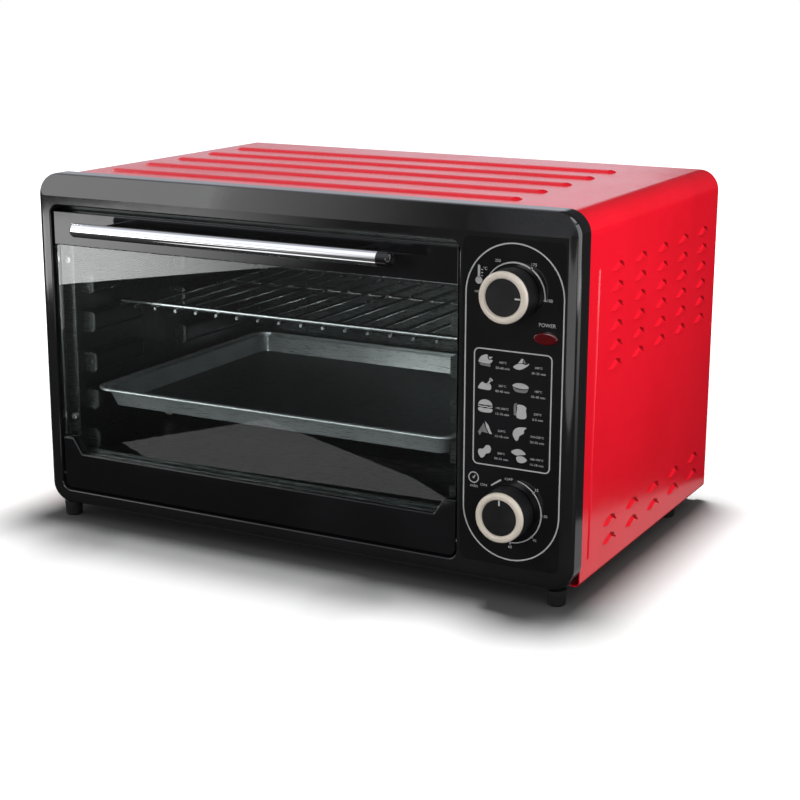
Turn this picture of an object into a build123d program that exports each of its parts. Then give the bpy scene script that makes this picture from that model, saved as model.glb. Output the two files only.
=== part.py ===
"""Countertop electric convection oven with a drop-down glass door.

Millimetres. +X is the viewer's right, +Y runs from the door to the back and
+Z is up. The origin is on the worktop, under the middle of the whole oven.
Each function returns one sub-part, and the table at the end names them.
"""
from math import atan2, cos, pi, sin, tan
import os

from build123d import *

# Driving dimensions of the casing
WIDTH = 512.0
BODY_HEIGHT = 300.0
DEPTH = 330.0
FOOT_HEIGHT = 13.0
HANDLE_REACH = 34.0
SHEET = 1.0
PLASTIC = 3.0
BEZEL_DEPTH = 23.5
BEZEL_CORNER = 19.0
BEZEL_EDGE = 9.0
SHELL_INSET = 1.0
SHELL_BEND = 18.0
SHELL_FOOT_BEND = 4.0
SHELL_FLANGE = 8.0
RIB_HEIGHT = 2.2
TOP_BAND = 19.0
TOP_BAND_SLOPE = 5.5
FRONT = HANDLE_REACH - (DEPTH + HANDLE_REACH) / 2
BACK = FRONT + DEPTH
BOTTOM = FOOT_HEIGHT
TOP = BOTTOM + BODY_HEIGHT
SHELL_SIDE = WIDTH / 2 - SHELL_INSET
SHELL_TOP = TOP - RIB_HEIGHT
BACK_PANEL_Y = BACK - 4.0
BACK_FLANGE = 13.0

# Door opening and door
OPENING = (-241.0, 157.5, BOTTOM + 14, BOTTOM + 273)
OPENING_CORNER = 8.0
OPENING_EDGE = 1.2
DOOR_GAP = 1.8
DOOR_LEFT = OPENING[0] + DOOR_GAP
DOOR_RIGHT = OPENING[1] - DOOR_GAP
DOOR_BOTTOM = OPENING[2] + 2
DOOR_TOP = OPENING[3] - 5.5
STRIP_HEIGHT = 29.5
RAIL_HEIGHT = 32.5
EAR_HEIGHT = 46.7
EAR_WIDTH = 10.5
EAR_SLOPE = 9.5
RAIL_CORNER = 6.5
DOOR_FACE = FRONT + 2.0
FRAME_PLATE = 2.0
GLASS = 4.0
GLASS_FACE = DOOR_FACE + FRAME_PLATE
GLASS_BACK = GLASS_FACE + GLASS
STRIP_BACK = GLASS_BACK + FRAME_PLATE
RAIL_BACK = DOOR_FACE + 12.0
GLASS_BOTTOM = BOTTOM + 33
HINGE_Y = FRONT + 6.0
HINGE_Z = BOTTOM + 28
PIN_RADIUS = 2.5
RUNNING = 0.05

# Handle
HANDLE_Y = FRONT - 28.0
HANDLE_Z = BOTTOM + 258
HANDLE_RADIUS = 6.0
HANDLE_LEFT = -192.0
HANDLE_RIGHT = 102.0
HANDLE_CAP = 12.5
HANDLE_PLUG = 2.0
HANDLE_POSTS = (HANDLE_LEFT + 27, HANDLE_RIGHT - 22)
HANDLE_POST_RADIUS = 4.8
HANDLE_SCREW_RADIUS = 2.0

# Door hooks, which slide through the front frame
HOOK_PIVOT_Y = FRONT + 11.5
HOOK_PIVOT_Z = BOTTOM + 55
HOOK_LENGTH = 75.0
HOOK_PLATE = 2.0
HOOK_CENTRES = {"left": -235.5, "right": 153.0}
HOOK_PIN_RADIUS = 1.5
SPRING_RADIUS = 3.6
SPRING_WIRE = 0.55
SPRING_TURNS = 16
SPRING_OFFSETS = {"left": -0.6, "right": 1.6}
SPRING_FRONT = HOOK_PIVOT_Y + HOOK_LENGTH + 1.5
SPRING_REAR = SPRING_FRONT + 46

# Cavity, measured inside its sheet walls
CAV_LEFT = -229.0
CAV_RIGHT = 149.0
CAV_FLOOR = BOTTOM + 47
CAV_CEILING = BOTTOM + 266
CAV_BACK = FRONT + 308.0
CAV_MID = (CAV_LEFT + CAV_RIGHT) / 2
FRAME_Y = FRONT + 16.0
FRAME_LIP = 5.0
GUIDE_TOPS = [BOTTOM + z for z in (67, 104, 138, 175, 210)]
GUIDE_HEIGHT = 18.0
GUIDE_REACH = 12.0
GUIDE_FRONT = (FRONT + 26, FRONT + 100)
GUIDE_REAR = (FRONT + 165, FRONT + 300)
GUIDE_REAR_BY_FAN = (FRONT + 250, FRONT + 300)
GUIDE_REAR_LOWEST = (FRONT + 165, FRONT + 258)
GUIDE_LAP = 5.0

# Rack and tray, both carried on the guides
RACK_FRONT = FRONT + 75
RACK_REAR = FRONT + 297
RACK_RAIL_RADIUS = 2.5
RACK_ROD_RADIUS = 1.5
RACK_RODS = 16
RACK_PITCH = 22.0
RACK_CROSSBAR_Y = FRONT + 235
RACK_Z = GUIDE_TOPS[3] + RACK_RAIL_RADIUS
TRAY_FRONT = FRONT + 24
TRAY_REAR = FRONT + 303
TRAY_RIM_Z = GUIDE_TOPS[1]
TRAY_BEAD = 2.8
TRAY_DEPTH = 15.0
TRAY_RIM = 8.0
TRAY_SLANT = 6.0
TRAY_CORNER = 19.0
CARRIED_LEFT = CAV_LEFT + GUIDE_REACH - GUIDE_LAP
CARRIED_RIGHT = CAV_RIGHT - GUIDE_REACH + GUIDE_LAP

# Heating rods
HEATER_RADIUS = 4.0
HEATER_YS = (FRONT + 150, FRONT + 275)
HEATER_UPPER_Z = CAV_CEILING - 10
HEATER_LOWER_Z = CAV_FLOOR + 11
INSULATOR_RADIUS = 7.0

# Convection fan, behind the right wall
FAN_Y = FRONT + 175
FAN_Z = BOTTOM + 150
FAN_HOUSING_RADIUS = 68.0
FAN_HOUSING_DEPTH = 22.0
FAN_RADIUS = 52.0
FAN_BLADES = 8
FAN_SHAFT_RADIUS = 2.5
FAN_HUB_X = CAV_RIGHT + 6
FAN_BLADE_WIDTH = 10.0
FAN_HOLE_RINGS = ((0, 1), (14, 6), (28, 12), (42, 18))
MOTOR_X = CAV_RIGHT + SHEET + FAN_HOUSING_DEPTH

# Controls
PANEL = (161.0, 246.3, BOTTOM + 17, BOTTOM + 277)
PANEL_CORNER = 6.0
PANEL_SINK = 1.2
KNOB_X = 203.6
TEMPERATURE_Z = BOTTOM + 235.5
TIMER_Z = BOTTOM + 62
KNOB_BASE_RADIUS = 21.0
KNOB_RADIUS = 20.1
KNOB_RING_INNER = 14.5
KNOB_FRONT = FRONT - 21.0
KNOB_REAR = FRONT - 0.8
SHAFT_RADIUS = 3.0
LAMP_X = 231.2
LAMP_Z = BOTTOM + 203.4

# Feet and louvres
FEET = {
    "front_left": (-240.0, FRONT + 13),
    "front_right": (240.0, FRONT + 13),
    "rear_left": (-240.0, FRONT + 268),
    "rear_right": (240.0, FRONT + 268),
}
FOOT_RADIUS = 8.0
SHELL_SCREWS = [(side * 247.0, z) for side in (-1, 1) for z in (60.0, 163.0, 262.0)]
SHELL_SCREWS += [(-120.0, SHELL_TOP - 7), (120.0, SHELL_TOP - 7)]
FRAME_SCREWS = [(x, BOTTOM + z) for x in (-234.5, 153.5) for z in (80, 223)]
LOUVRE_YS = [FRONT + 86 + 51.5 * i for i in range(5)]
LOUVRE_APEXES = [BOTTOM + 252.5 - 15.8 * i for i in range(6)] + [BOTTOM + 43, BOTTOM + 27.3]
LOUVRE_WIDTH = 30.0
LOUVRE_HEIGHT = 6.6
LOUVRE_PROUD = 1.8
LOUVRE_DRAFT = 2.2
LOUVRE_APEX_RADIUS = 7.0
RIB_YS = [FRONT + 65 + 50.8 * i for i in range(5)]
RIB_LEFT = -222.0
RIB_RIGHT = 180.0
RIB_WIDTH = 13.0
CREASE_TOP = (FRONT + 47, BOTTOM + 250)
CREASE_FOOT = (FRONT + 40, BOTTOM + 20)
CREASE_RADIUS = 3.5
CREASE_PROUD = 0.8
GLAND_X = 205.0
GLAND_Z = BOTTOM + 47
GLAND_BORE = 4.2
GLAND_LENGTH = 14.0

# Wiring in the control space: each wire's route from terminal to terminal
WIRE_RADIUS = 1.3
TIMER_TABS = (KNOB_X - 18, KNOB_X + 18)
TIMER_TAB_Y = FRONT + 20.4
TIMER_TAB_TOP = TIMER_Z + 32
THERMOSTAT_TABS = (KNOB_X - 8, KNOB_X + 8)
THERMOSTAT_TAB_END = FRONT + 36
CUTOUT_Y = FRONT + 60
CUTOUT_Z = BOTTOM + 240
CUTOUT_TABS = (CUTOUT_Y - 4, CUTOUT_Y + 4)
CUTOUT_TAB_END = CAV_RIGHT + SHEET + 19
BLOCK_XS = (195.0, 209.0, 223.0)
BLOCK_Y = FRONT + 294
BLOCK_TOP = BOTTOM + SHEET + 19
HEATER_END = CAV_RIGHT + 24
WIRES = [
    [
        (TIMER_TABS[0], TIMER_TAB_Y, TIMER_TAB_TOP), (TIMER_TABS[0], TIMER_TAB_Y, 146),
        (188, FRONT + 50, 190), (THERMOSTAT_TABS[0], FRONT + 64, TEMPERATURE_Z),
        (THERMOSTAT_TABS[0], THERMOSTAT_TAB_END, TEMPERATURE_Z),
    ],
    [
        (TIMER_TABS[1], TIMER_TAB_Y, TIMER_TAB_TOP), (TIMER_TABS[1], TIMER_TAB_Y, 140),
        (232, FRONT + 60, 152), (238, FRONT + 115, 128), (236, FRONT + 175, 98),
        (222, FRONT + 235, 82), (BLOCK_XS[0], BLOCK_Y, 72), (BLOCK_XS[0], BLOCK_Y, BLOCK_TOP),
    ],
    [
        (THERMOSTAT_TABS[1], THERMOSTAT_TAB_END, TEMPERATURE_Z),
        (THERMOSTAT_TABS[1], FRONT + 62, TEMPERATURE_Z),
        (200, FRONT + 74, 251), (188, CUTOUT_TABS[0], CUTOUT_Z), (CUTOUT_TAB_END, CUTOUT_TABS[0], CUTOUT_Z),
    ],
    [
        (CUTOUT_TAB_END, CUTOUT_TABS[1], CUTOUT_Z), (188, CUTOUT_TABS[1], CUTOUT_Z),
        (196, FRONT + 104, 262), (192, HEATER_YS[0], HEATER_UPPER_Z),
        (HEATER_END, HEATER_YS[0], HEATER_UPPER_Z),
    ],
    [
        (BLOCK_XS[1], BLOCK_Y, BLOCK_TOP), (BLOCK_XS[1], BLOCK_Y, 66), (214, FRONT + 246, 88),
        (202, FRONT + 212, 100), (MOTOR_X + 17, FAN_Y + 14, 112), (MOTOR_X + 17, FAN_Y + 14, FAN_Z - 24),
    ],
    [
        (BLOCK_XS[2], BLOCK_Y, BLOCK_TOP), (BLOCK_XS[2], BLOCK_Y, 58),
        (206, HEATER_YS[1], HEATER_LOWER_Z), (HEATER_END, HEATER_YS[1], HEATER_LOWER_Z),
    ],
]


def box(x0, x1, y0, y1, z0, z1):
    """A block between two corners."""
    centre = ((x0 + x1) / 2, (y0 + y1) / 2, (z0 + z1) / 2)
    return Pos(*centre) * Box(x1 - x0, y1 - y0, z1 - z0)


def rod_x(x0, x1, y, z, radius):
    """A round bar along X."""
    return Pos((x0 + x1) / 2, y, z) * Rot(0, 90, 0) * Cylinder(radius, x1 - x0)


def rod_y(y0, y1, x, z, radius):
    """A round bar along Y."""
    return Pos(x, (y0 + y1) / 2, z) * Rot(90, 0, 0) * Cylinder(radius, y1 - y0)


def rod_z(z0, z1, x, y, radius):
    """A round bar along Z."""
    return Pos(x, y, (z0 + z1) / 2) * Cylinder(radius, z1 - z0)


def slab_y(sketch, y0, y1):
    """An outline drawn in X and Z, given thickness from y0 to y1."""
    plane = Plane(origin=(0, y1, 0), x_dir=(1, 0, 0), z_dir=(0, -1, 0))
    return extrude(plane * sketch, amount=y1 - y0)


def slab_x(sketch, x0, x1):
    """An outline drawn in Y and Z, given thickness from x0 to x1."""
    plane = Plane(origin=(x0, 0, 0), x_dir=(0, 1, 0), z_dir=(1, 0, 0))
    return extrude(plane * sketch, amount=x1 - x0)


def rounded(x0, x1, z0, z1, radius):
    """A rectangle with round corners between two corner points."""
    return Pos((x0 + x1) / 2, (z0 + z1) / 2) * RectangleRounded(x1 - x0, z1 - z0, radius)


def outline(*points):
    """A closed face through the points."""
    return make_face(Polyline(*points, close=True))


def turned_y(points, x, z):
    """A round part on a Y axis, from its (radius, y) outline."""
    return Pos(x, 0, z) * revolve(outline(*points), Axis.Y)


# Casing

def front_bezel():
    """Moulded black frame round the door and the controls."""
    body = slab_y(rounded(-WIDTH / 2, WIDTH / 2, BOTTOM, TOP, BEZEL_CORNER), FRONT, FRONT + BEZEL_DEPTH)
    body = fillet(body.faces().sort_by(Axis.Y)[0].edges(), BEZEL_EDGE)
    slope = TOP_BAND / TOP_BAND_SLOPE
    band = outline(
        (FRONT - 1, TOP - TOP_BAND - slope),
        (FRONT + TOP_BAND_SLOPE + 1, TOP + slope),
        (FRONT - 1, TOP + slope),
    )
    body -= slab_x(band, -WIDTH / 2 - 1, WIDTH / 2 + 1)
    inner = PLASTIC
    side = WIDTH / 2 - inner
    corner = BEZEL_CORNER - inner
    hollow = rounded(-side, side, BOTTOM + inner, TOP - inner, corner)
    body -= slab_y(hollow, FRONT + TOP_BAND_SLOPE, FRONT + BEZEL_DEPTH)
    hollow = rounded(-side, side, BOTTOM + inner, TOP - TOP_BAND, corner)
    body -= slab_y(hollow, FRONT + inner, FRONT + BEZEL_DEPTH)
    x0, x1, z0, z1 = OPENING
    frame = rounded(x0 - inner, x1 + inner, z0 - inner, z1 + inner, OPENING_CORNER + inner)
    body += slab_y(frame, FRONT + inner, FRAME_Y - 0.5)
    body -= slab_y(rounded(x0, x1, z0, z1, OPENING_CORNER), FRONT - 1, FRONT + BEZEL_DEPTH)
    near_opening = box(x0 - 1, x1 + 1, FRONT - 1, FRONT + 1, z0 - 1, z1 + 1)
    front_edges = body.edges().group_by(Axis.Y)[0]
    body = fillet([edge for edge in front_edges if near_opening.is_inside(edge.center())], OPENING_EDGE)
    body -= slab_y(rounded(*PANEL, PANEL_CORNER), FRONT - 1, FRONT + PANEL_SINK)
    body -= control_holes()
    body -= rod_x(x0 - inner - 1, x1 + inner + 1, HINGE_Y, HINGE_Z, PIN_RADIUS + 0.4)
    for name in ("front_left", "front_right"):
        body -= rod_z(BOTTOM - 1, BOTTOM + inner + 1, *FEET[name], 2.3)
        body -= rod_z(BOTTOM + inner, BOTTOM + inner + 8, *FEET[name], 5)
    return body


def control_holes():
    """Holes for the two control bushings and the lamp."""
    holes = rod_y(FRONT - 1, FRONT + 5, KNOB_X, TEMPERATURE_Z, 5)
    holes += rod_y(FRONT - 1, FRONT + 5, KNOB_X, TIMER_Z, 5)
    holes += box(LAMP_X - 6.5, LAMP_X + 6.5, FRONT - 1, FRONT + 5, LAMP_Z - 3.5, LAMP_Z + 3.5)
    return holes


def control_panel():
    """Thin printed plate let into the bezel."""
    x0, x1, z0, z1 = PANEL
    gap = 0.2
    plate = rounded(x0 + gap, x1 - gap, z0 + gap, z1 - gap, PANEL_CORNER - gap)
    return slab_y(plate, FRONT + gap, FRONT + PANEL_SINK) - control_holes()


def shell_profile(grow):
    """The wrapped sheet's outline in X and Z, grown outward or inward."""
    side = SHELL_SIDE + grow
    low = BOTTOM - grow
    high = SHELL_TOP + grow
    face = outline((-side, low), (side, low), (side, high), (-side, high))
    face = fillet(face.vertices().group_by(Axis.Y)[-1], SHELL_BEND + grow)
    return fillet(face.vertices().group_by(Axis.Y)[0], max(SHELL_FOOT_BEND + grow, SHEET))


def louvre_outline(inset):
    """A louvre's gable in Y and Z, drawn in from its two slopes."""
    half = LOUVRE_WIDTH / 2
    slope = atan2(LOUVRE_HEIGHT, half)
    foot = half - inset / sin(slope)
    gable = outline((-foot, 0), (foot, 0), (0, foot * tan(slope)))
    return fillet(gable.vertices().group_by(Axis.Y)[-1], LOUVRE_APEX_RADIUS - inset)


def louvre_block(inset, x0, x1):
    """The gable as a block from x0 to x1 whose slopes lean inward from the sheet's face."""
    lean = LOUVRE_DRAFT / LOUVRE_PROUD
    ends = []
    for x in (x0, x1):
        plane = Plane(origin=(x, 0, 0), x_dir=(0, 1, 0), z_dir=(1, 0, 0))
        ends.append(plane * louvre_outline(inset + lean * x))
    return loft(ends)


def louvre_hood(side):
    """One pressed louvre, open below, and the hole behind it, for a wall facing +X or -X."""
    wall = 0.9 * SHEET
    outer = louvre_block(0, -SHEET / 2, LOUVRE_PROUD)
    opening = louvre_block(wall, -SHEET / 2, LOUVRE_PROUD - wall)
    opening += louvre_block(wall, -1.5 * SHEET, -SHEET / 2)
    hood = outer - opening
    if side < 0:
        return mirror(hood, Plane.YZ), mirror(opening, Plane.YZ)
    return hood, opening


def rib(y):
    """One rounded stiffening rib on the top, with domed ends."""
    radius = ((RIB_WIDTH / 2) ** 2 + RIB_HEIGHT**2) / (2 * RIB_HEIGHT)
    axis_z = TOP - radius
    x0 = RIB_LEFT + RIB_WIDTH / 2
    x1 = RIB_RIGHT - RIB_WIDTH / 2
    bar = rod_x(x0, x1, y, axis_z, radius)
    for x in (x0, x1):
        bar += Pos(x, y, axis_z) * Sphere(radius)
    return bar & box(x0 - radius, x1 + radius, y - radius, y + radius, SHELL_TOP - SHEET / 2, TOP + 1)


def crease(side):
    """Soft raised bead near the front of a side, leaning slightly back, with domed ends."""
    x = side * (SHELL_SIDE + CREASE_PROUD - CREASE_RADIUS)
    low = Vector(x, *CREASE_FOOT)
    high = Vector(x, *CREASE_TOP)
    run = high - low
    bar = extrude(Plane(origin=low, z_dir=run) * Circle(CREASE_RADIUS), amount=run.length)
    for end in (low, high):
        bar += Pos(end) * Sphere(CREASE_RADIUS)
    x0, x1 = sorted((side * (SHELL_SIDE - SHEET / 2), side * (SHELL_SIDE + 2 * CREASE_PROUD)))
    return bar & box(x0, x1, FRONT, CREASE_TOP[0] + 2 * CREASE_RADIUS, BOTTOM, TOP)


def outer_shell():
    """One wrapped red sheet: top and both sides, with flanges at the back and below."""
    y0 = FRONT + BEZEL_DEPTH
    shell = slab_y(shell_profile(0), y0, BACK)
    shell -= slab_y(shell_profile(-SHEET), y0 - 1, BACK_PANEL_Y - SHEET)
    shell -= slab_y(shell_profile(-SHEET), BACK_PANEL_Y, BACK + 1)
    shell -= slab_y(shell_profile(-BACK_FLANGE), y0, BACK)
    gap = SHELL_SIDE - SHELL_FLANGE
    shell -= box(-gap, gap, y0 - 1, BACK + 1, BOTTOM - 1, BOTTOM + BACK_FLANGE + 1)
    for y in RIB_YS:
        shell += rib(y)
    hoods = []
    openings = []
    for side in (1, -1):
        hood, opening = louvre_hood(side)
        for y in LOUVRE_YS:
            for apex in LOUVRE_APEXES:
                place = Pos(side * SHELL_SIDE, y, apex - LOUVRE_HEIGHT)
                hoods.append(place * hood)
                openings.append(place * opening)
        shell += crease(side)
    shell = shell - openings
    shell = shell + hoods
    shell -= screw_holes(SHELL_SCREWS, BACK_PANEL_Y - 2, BACK_PANEL_Y + 2)
    return shell


def screw_holes(places, y0, y1):
    """Clearance holes for small screws, drilled along Y."""
    return [rod_y(y0, y1, x, z, 1.9) for x, z in places]


def back_panel():
    """Plain rear sheet with vent slots and the mains inlet hole."""
    side = SHELL_SIDE - SHEET - 0.2
    top = SHELL_TOP - SHEET - 0.2
    panel = slab_y(rounded(-side, side, BOTTOM + 1.5, top, 16.5), BACK_PANEL_Y, BACK_PANEL_Y + SHEET)
    panel -= screw_holes(SHELL_SCREWS, BACK_PANEL_Y - 2, BACK_PANEL_Y + 2)
    slots = []
    for column in (-165, -85, -5, 75, 205):
        for row in range(6):
            slot = Pos(column, 210 + 13 * row) * SlotOverall(56, 5)
            slots.append(slab_y(slot, BACK_PANEL_Y - 1, BACK_PANEL_Y + 2))
    panel = panel - slots
    panel -= rod_y(BACK_PANEL_Y - 1, BACK_PANEL_Y + 2, GLAND_X, GLAND_Z, 7.1)
    return panel


def base_plate():
    """Floor sheet with turned-up edges, carrying the feet and the cavity."""
    side = SHELL_SIDE - SHELL_FLANGE - 0.5
    y0 = FRONT + BEZEL_DEPTH
    plate = box(-side, side, y0, BACK_PANEL_Y, BOTTOM, BOTTOM + SHEET)
    for edge in (-side, side - SHEET):
        plate += box(edge, edge + SHEET, y0, BACK_PANEL_Y - 12, BOTTOM, BOTTOM + 11)
    plate += box(-235, 235, BACK_PANEL_Y - SHEET, BACK_PANEL_Y, BOTTOM, BOTTOM + 11)
    slots = []
    for column in (-170, -90, -10, 70, 150):
        for row in range(4):
            place = Pos(column, y0 + 110 + 22 * row, BOTTOM - 1)
            slots.append(extrude(place * SlotOverall(50, 6), amount=SHEET + 2))
    plate = plate - slots
    for name in ("rear_left", "rear_right"):
        plate -= rod_z(BOTTOM - 1, BOTTOM + SHEET + 1, *FEET[name], 2.3)
    return plate


def foot(x, y):
    """Round rubber foot with a sunk screw."""
    body = Pos(x, y, 0) * revolve(
        outline(
            (2.2, FOOT_HEIGHT), (2.2, 5), (4.4, 5), (4.4, 0), (FOOT_RADIUS - 1.6, 0),
            (FOOT_RADIUS - 0.6, 1), (FOOT_RADIUS, FOOT_HEIGHT - 3), (FOOT_RADIUS, FOOT_HEIGHT),
        ).rotate(Axis.X, 90),
        Axis.Z,
    )
    return body


def foot_screws():
    """Four screws with nuts that hold the feet."""
    group = []
    for name, (x, y) in FEET.items():
        seat = BOTTOM + (PLASTIC if name.startswith("front") else SHEET)
        screw = rod_z(2.5, 5, x, y, 3.9) + rod_z(5, seat + 6, x, y, 2.0)
        nut = extrude(Pos(x, y, seat) * RegularPolygon(4.0, 6), amount=3.2)
        group.append(screw + nut)
    return Compound(group)


# Cavity

def guide(x_wall, inward, span, top):
    """A guide pressed inward from a side wall, hollow from outside."""
    y0, y1 = span
    reach = GUIDE_REACH
    depth = reach + SHEET
    middle = (x_wall - inward * SHEET + x_wall + inward * reach) / 2
    block = Pos(middle, (y0 + y1) / 2, top - GUIDE_HEIGHT / 2) * Box(depth, y1 - y0, GUIDE_HEIGHT)
    inner_face = block.faces().sort_by(Axis.X)[-1 if inward > 0 else 0]
    return fillet(inner_face.edges(), 4)


def guide_hollow(x_wall, inward, span, top):
    """The space inside a pressed guide."""
    y0, y1 = span
    depth = GUIDE_REACH
    middle = x_wall - inward * SHEET + inward * depth / 2
    block = Pos(middle, (y0 + y1) / 2, top - GUIDE_HEIGHT / 2)
    block = block * Box(depth, y1 - y0 - 2 * SHEET, GUIDE_HEIGHT - 2 * SHEET)
    inner_face = block.faces().sort_by(Axis.X)[-1 if inward > 0 else 0]
    return fillet(inner_face.edges(), 3)


def side_wall(x_wall, inward, rear_spans):
    """A cavity side wall with five pairs of guides, heater holes and a spring tab."""
    outside = x_wall - inward * SHEET
    x0, x1 = sorted((x_wall, outside))
    wall = box(x0, x1, FRAME_Y + SHEET, CAV_BACK, CAV_FLOOR, CAV_CEILING)
    hollows = []
    for top, rear in zip(GUIDE_TOPS, rear_spans):
        for span in (GUIDE_FRONT, rear):
            wall += guide(x_wall, inward, span, top)
            hollows.append(guide_hollow(x_wall, inward, span, top))
    wall = wall - hollows
    for y in HEATER_YS:
        for z in (HEATER_UPPER_Z, HEATER_LOWER_Z):
            wall -= rod_x(x0 - 1, x1 + 1, y, z, INSULATOR_RADIUS + 0.1)
    x_tab = sorted((outside, outside - inward * 10))
    wall += box(*x_tab, SPRING_REAR + 0.4, SPRING_REAR + 1.9, HOOK_PIVOT_Z - 7, HOOK_PIVOT_Z + 5)
    return wall


def cavity_left_wall():
    """Left wall, with long rear guides."""
    return side_wall(CAV_LEFT, 1, [GUIDE_REAR_LOWEST] + [GUIDE_REAR] * 4)


def cavity_right_wall():
    """Right wall, with the fan's air holes between its guides."""
    wall = side_wall(CAV_RIGHT, -1, [GUIDE_REAR_LOWEST] + [GUIDE_REAR_BY_FAN] * 4)
    holes = []
    for radius, count in FAN_HOLE_RINGS:
        for i in range(count):
            angle = 2 * pi * i / count
            y = FAN_Y + radius * cos(angle)
            z = FAN_Z + radius * sin(angle)
            holes.append(rod_x(CAV_RIGHT - 1, CAV_RIGHT + SHEET + 1, y, z, 3.5))
    return wall - holes


def cavity_sheet(z):
    """A level sheet over the whole cavity, its underside at z."""
    return box(CAV_LEFT - SHEET, CAV_RIGHT + SHEET, FRAME_Y + SHEET, CAV_BACK + SHEET, z, z + SHEET)


def cavity_ceiling():
    """Roof sheet of the cavity."""
    return cavity_sheet(CAV_CEILING)


def cavity_floor():
    """Floor sheet of the cavity."""
    return cavity_sheet(CAV_FLOOR - SHEET)


def cavity_back_wall():
    """Rear sheet of the cavity, with a shallow pressed panel."""
    wall = box(CAV_LEFT, CAV_RIGHT, CAV_BACK, CAV_BACK + SHEET, CAV_FLOOR, CAV_CEILING)
    press = rounded(CAV_LEFT + 60, CAV_RIGHT - 60, CAV_FLOOR + 50, CAV_CEILING - 50, 14)
    wall += slab_y(press, CAV_BACK + SHEET, CAV_BACK + 3)
    inner = rounded(CAV_LEFT + 61, CAV_RIGHT - 61, CAV_FLOOR + 51, CAV_CEILING - 51, 13)
    wall -= slab_y(inner, CAV_BACK - 1, CAV_BACK + 2)
    return wall


def cavity_front_frame():
    """Flat ring that joins the cavity to the bezel, notched for the door hooks."""
    ring = rounded(CAV_LEFT - 22, CAV_RIGHT + 17, CAV_FLOOR - 3, CAV_CEILING + 20, 6)
    frame = slab_y(ring, FRAME_Y, FRAME_Y + SHEET)
    frame -= box(CAV_LEFT, CAV_RIGHT, FRAME_Y - 1, FRAME_Y + 2, CAV_FLOOR + FRAME_LIP, CAV_CEILING)
    for x in HOOK_CENTRES.values():
        frame -= box(x - 2.6, x + 2.6, FRAME_Y - 1, FRAME_Y + 2, CAV_FLOOR - 10, HOOK_PIVOT_Z + 8)
    return frame - screw_holes(FRAME_SCREWS, FRAME_Y - 2, FRAME_Y + 3)


def screw_y(x, z, head_y, direction, head_radius, shank_radius, length):
    """A pan-head screw along Y: its head's seat is at head_y."""
    head = sorted((head_y, head_y - direction * 2.0))
    shank = sorted((head_y, head_y + direction * length))
    body = rod_y(*head, x, z, head_radius) + rod_y(*shank, x, z, shank_radius)
    cross = box(x - 1.8, x + 1.8, head[0] - 1, head[1] + 1, z - 0.4, z + 0.4)
    cross += box(x - 0.4, x + 0.4, head[0] - 1, head[1] + 1, z - 1.8, z + 1.8)
    outer = head[0] if direction > 0 else head[1]
    return body - (cross & box(x - 4, x + 4, outer - 1.0, outer + 1.0, z - 4, z + 4))


def frame_screws():
    """Four screws through the front frame."""
    return Compound([screw_y(x, z, FRAME_Y, 1, 3.0, 1.8, 9) for x, z in FRAME_SCREWS])


def shell_screws():
    """Eight screws that hold the back panel to the shell's flange."""
    seat = BACK_PANEL_Y + SHEET
    return Compound([screw_y(x, z, seat, -1, 3.2, 1.7, 7) for x, z in SHELL_SCREWS])


def cavity_supports():
    """Two pressed rails that carry the cavity on the base plate."""
    rails = []
    for x, side in ((CAV_LEFT + 3, 1), (CAV_RIGHT - 3, -1)):
        web = sorted((x, x + side * SHEET))
        foot_x = sorted((x, x + side * 20))
        y0, y1 = FRONT + 60, FRONT + 280
        z0, z1 = BOTTOM + SHEET, CAV_FLOOR - SHEET
        rail = box(*web, y0, y1, z0, z1)
        rail += box(*foot_x, y0, y1, z0, z0 + SHEET)
        rail += box(*foot_x, y0, y1, z1 - SHEET, z1)
        rails.append(rail)
    return Compound(rails)


# Heating

def heating_rods(z):
    """A pair of sheathed heating rods with threaded terminals."""
    rods = []
    for y in HEATER_YS:
        rod = rod_x(CAV_LEFT - 13, CAV_RIGHT + 13, y, z, HEATER_RADIUS)
        rod += rod_x(CAV_LEFT - 20, HEATER_END, y, z, 1.6)
        rods.append(rod)
    return Compound(rods)


def heater_insulators():
    """Eight ceramic bushes that carry the rods through the side walls."""
    bushes = []
    bore = HEATER_RADIUS + 0.1
    for x_wall, out in ((CAV_LEFT - SHEET, -1), (CAV_RIGHT + SHEET, 1)):
        for y in HEATER_YS:
            for z in (HEATER_UPPER_Z, HEATER_LOWER_Z):
                body = rod_x(*sorted((x_wall - out * 4, x_wall + out * 8)), y, z, INSULATOR_RADIUS)
                body += rod_x(*sorted((x_wall, x_wall + out * 3)), y, z, INSULATOR_RADIUS + 2)
                body -= rod_x(x_wall - 20, x_wall + 20, y, z, bore)
                bushes.append(body)
    return Compound(bushes)


def thermal_cutout():
    """Round overheat switch on the outside of the right wall."""
    x = CAV_RIGHT + SHEET
    y, z = CUTOUT_Y, CUTOUT_Z
    body = rod_x(x, x + 4, y, z, 8.5) + rod_x(x + 4, x + 11, y, z, 7.0)
    for tab in CUTOUT_TABS:
        body += box(x + 11, CUTOUT_TAB_END, tab - 0.4, tab + 0.4, z - 3, z + 3)
    return body


# Convection fan

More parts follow.
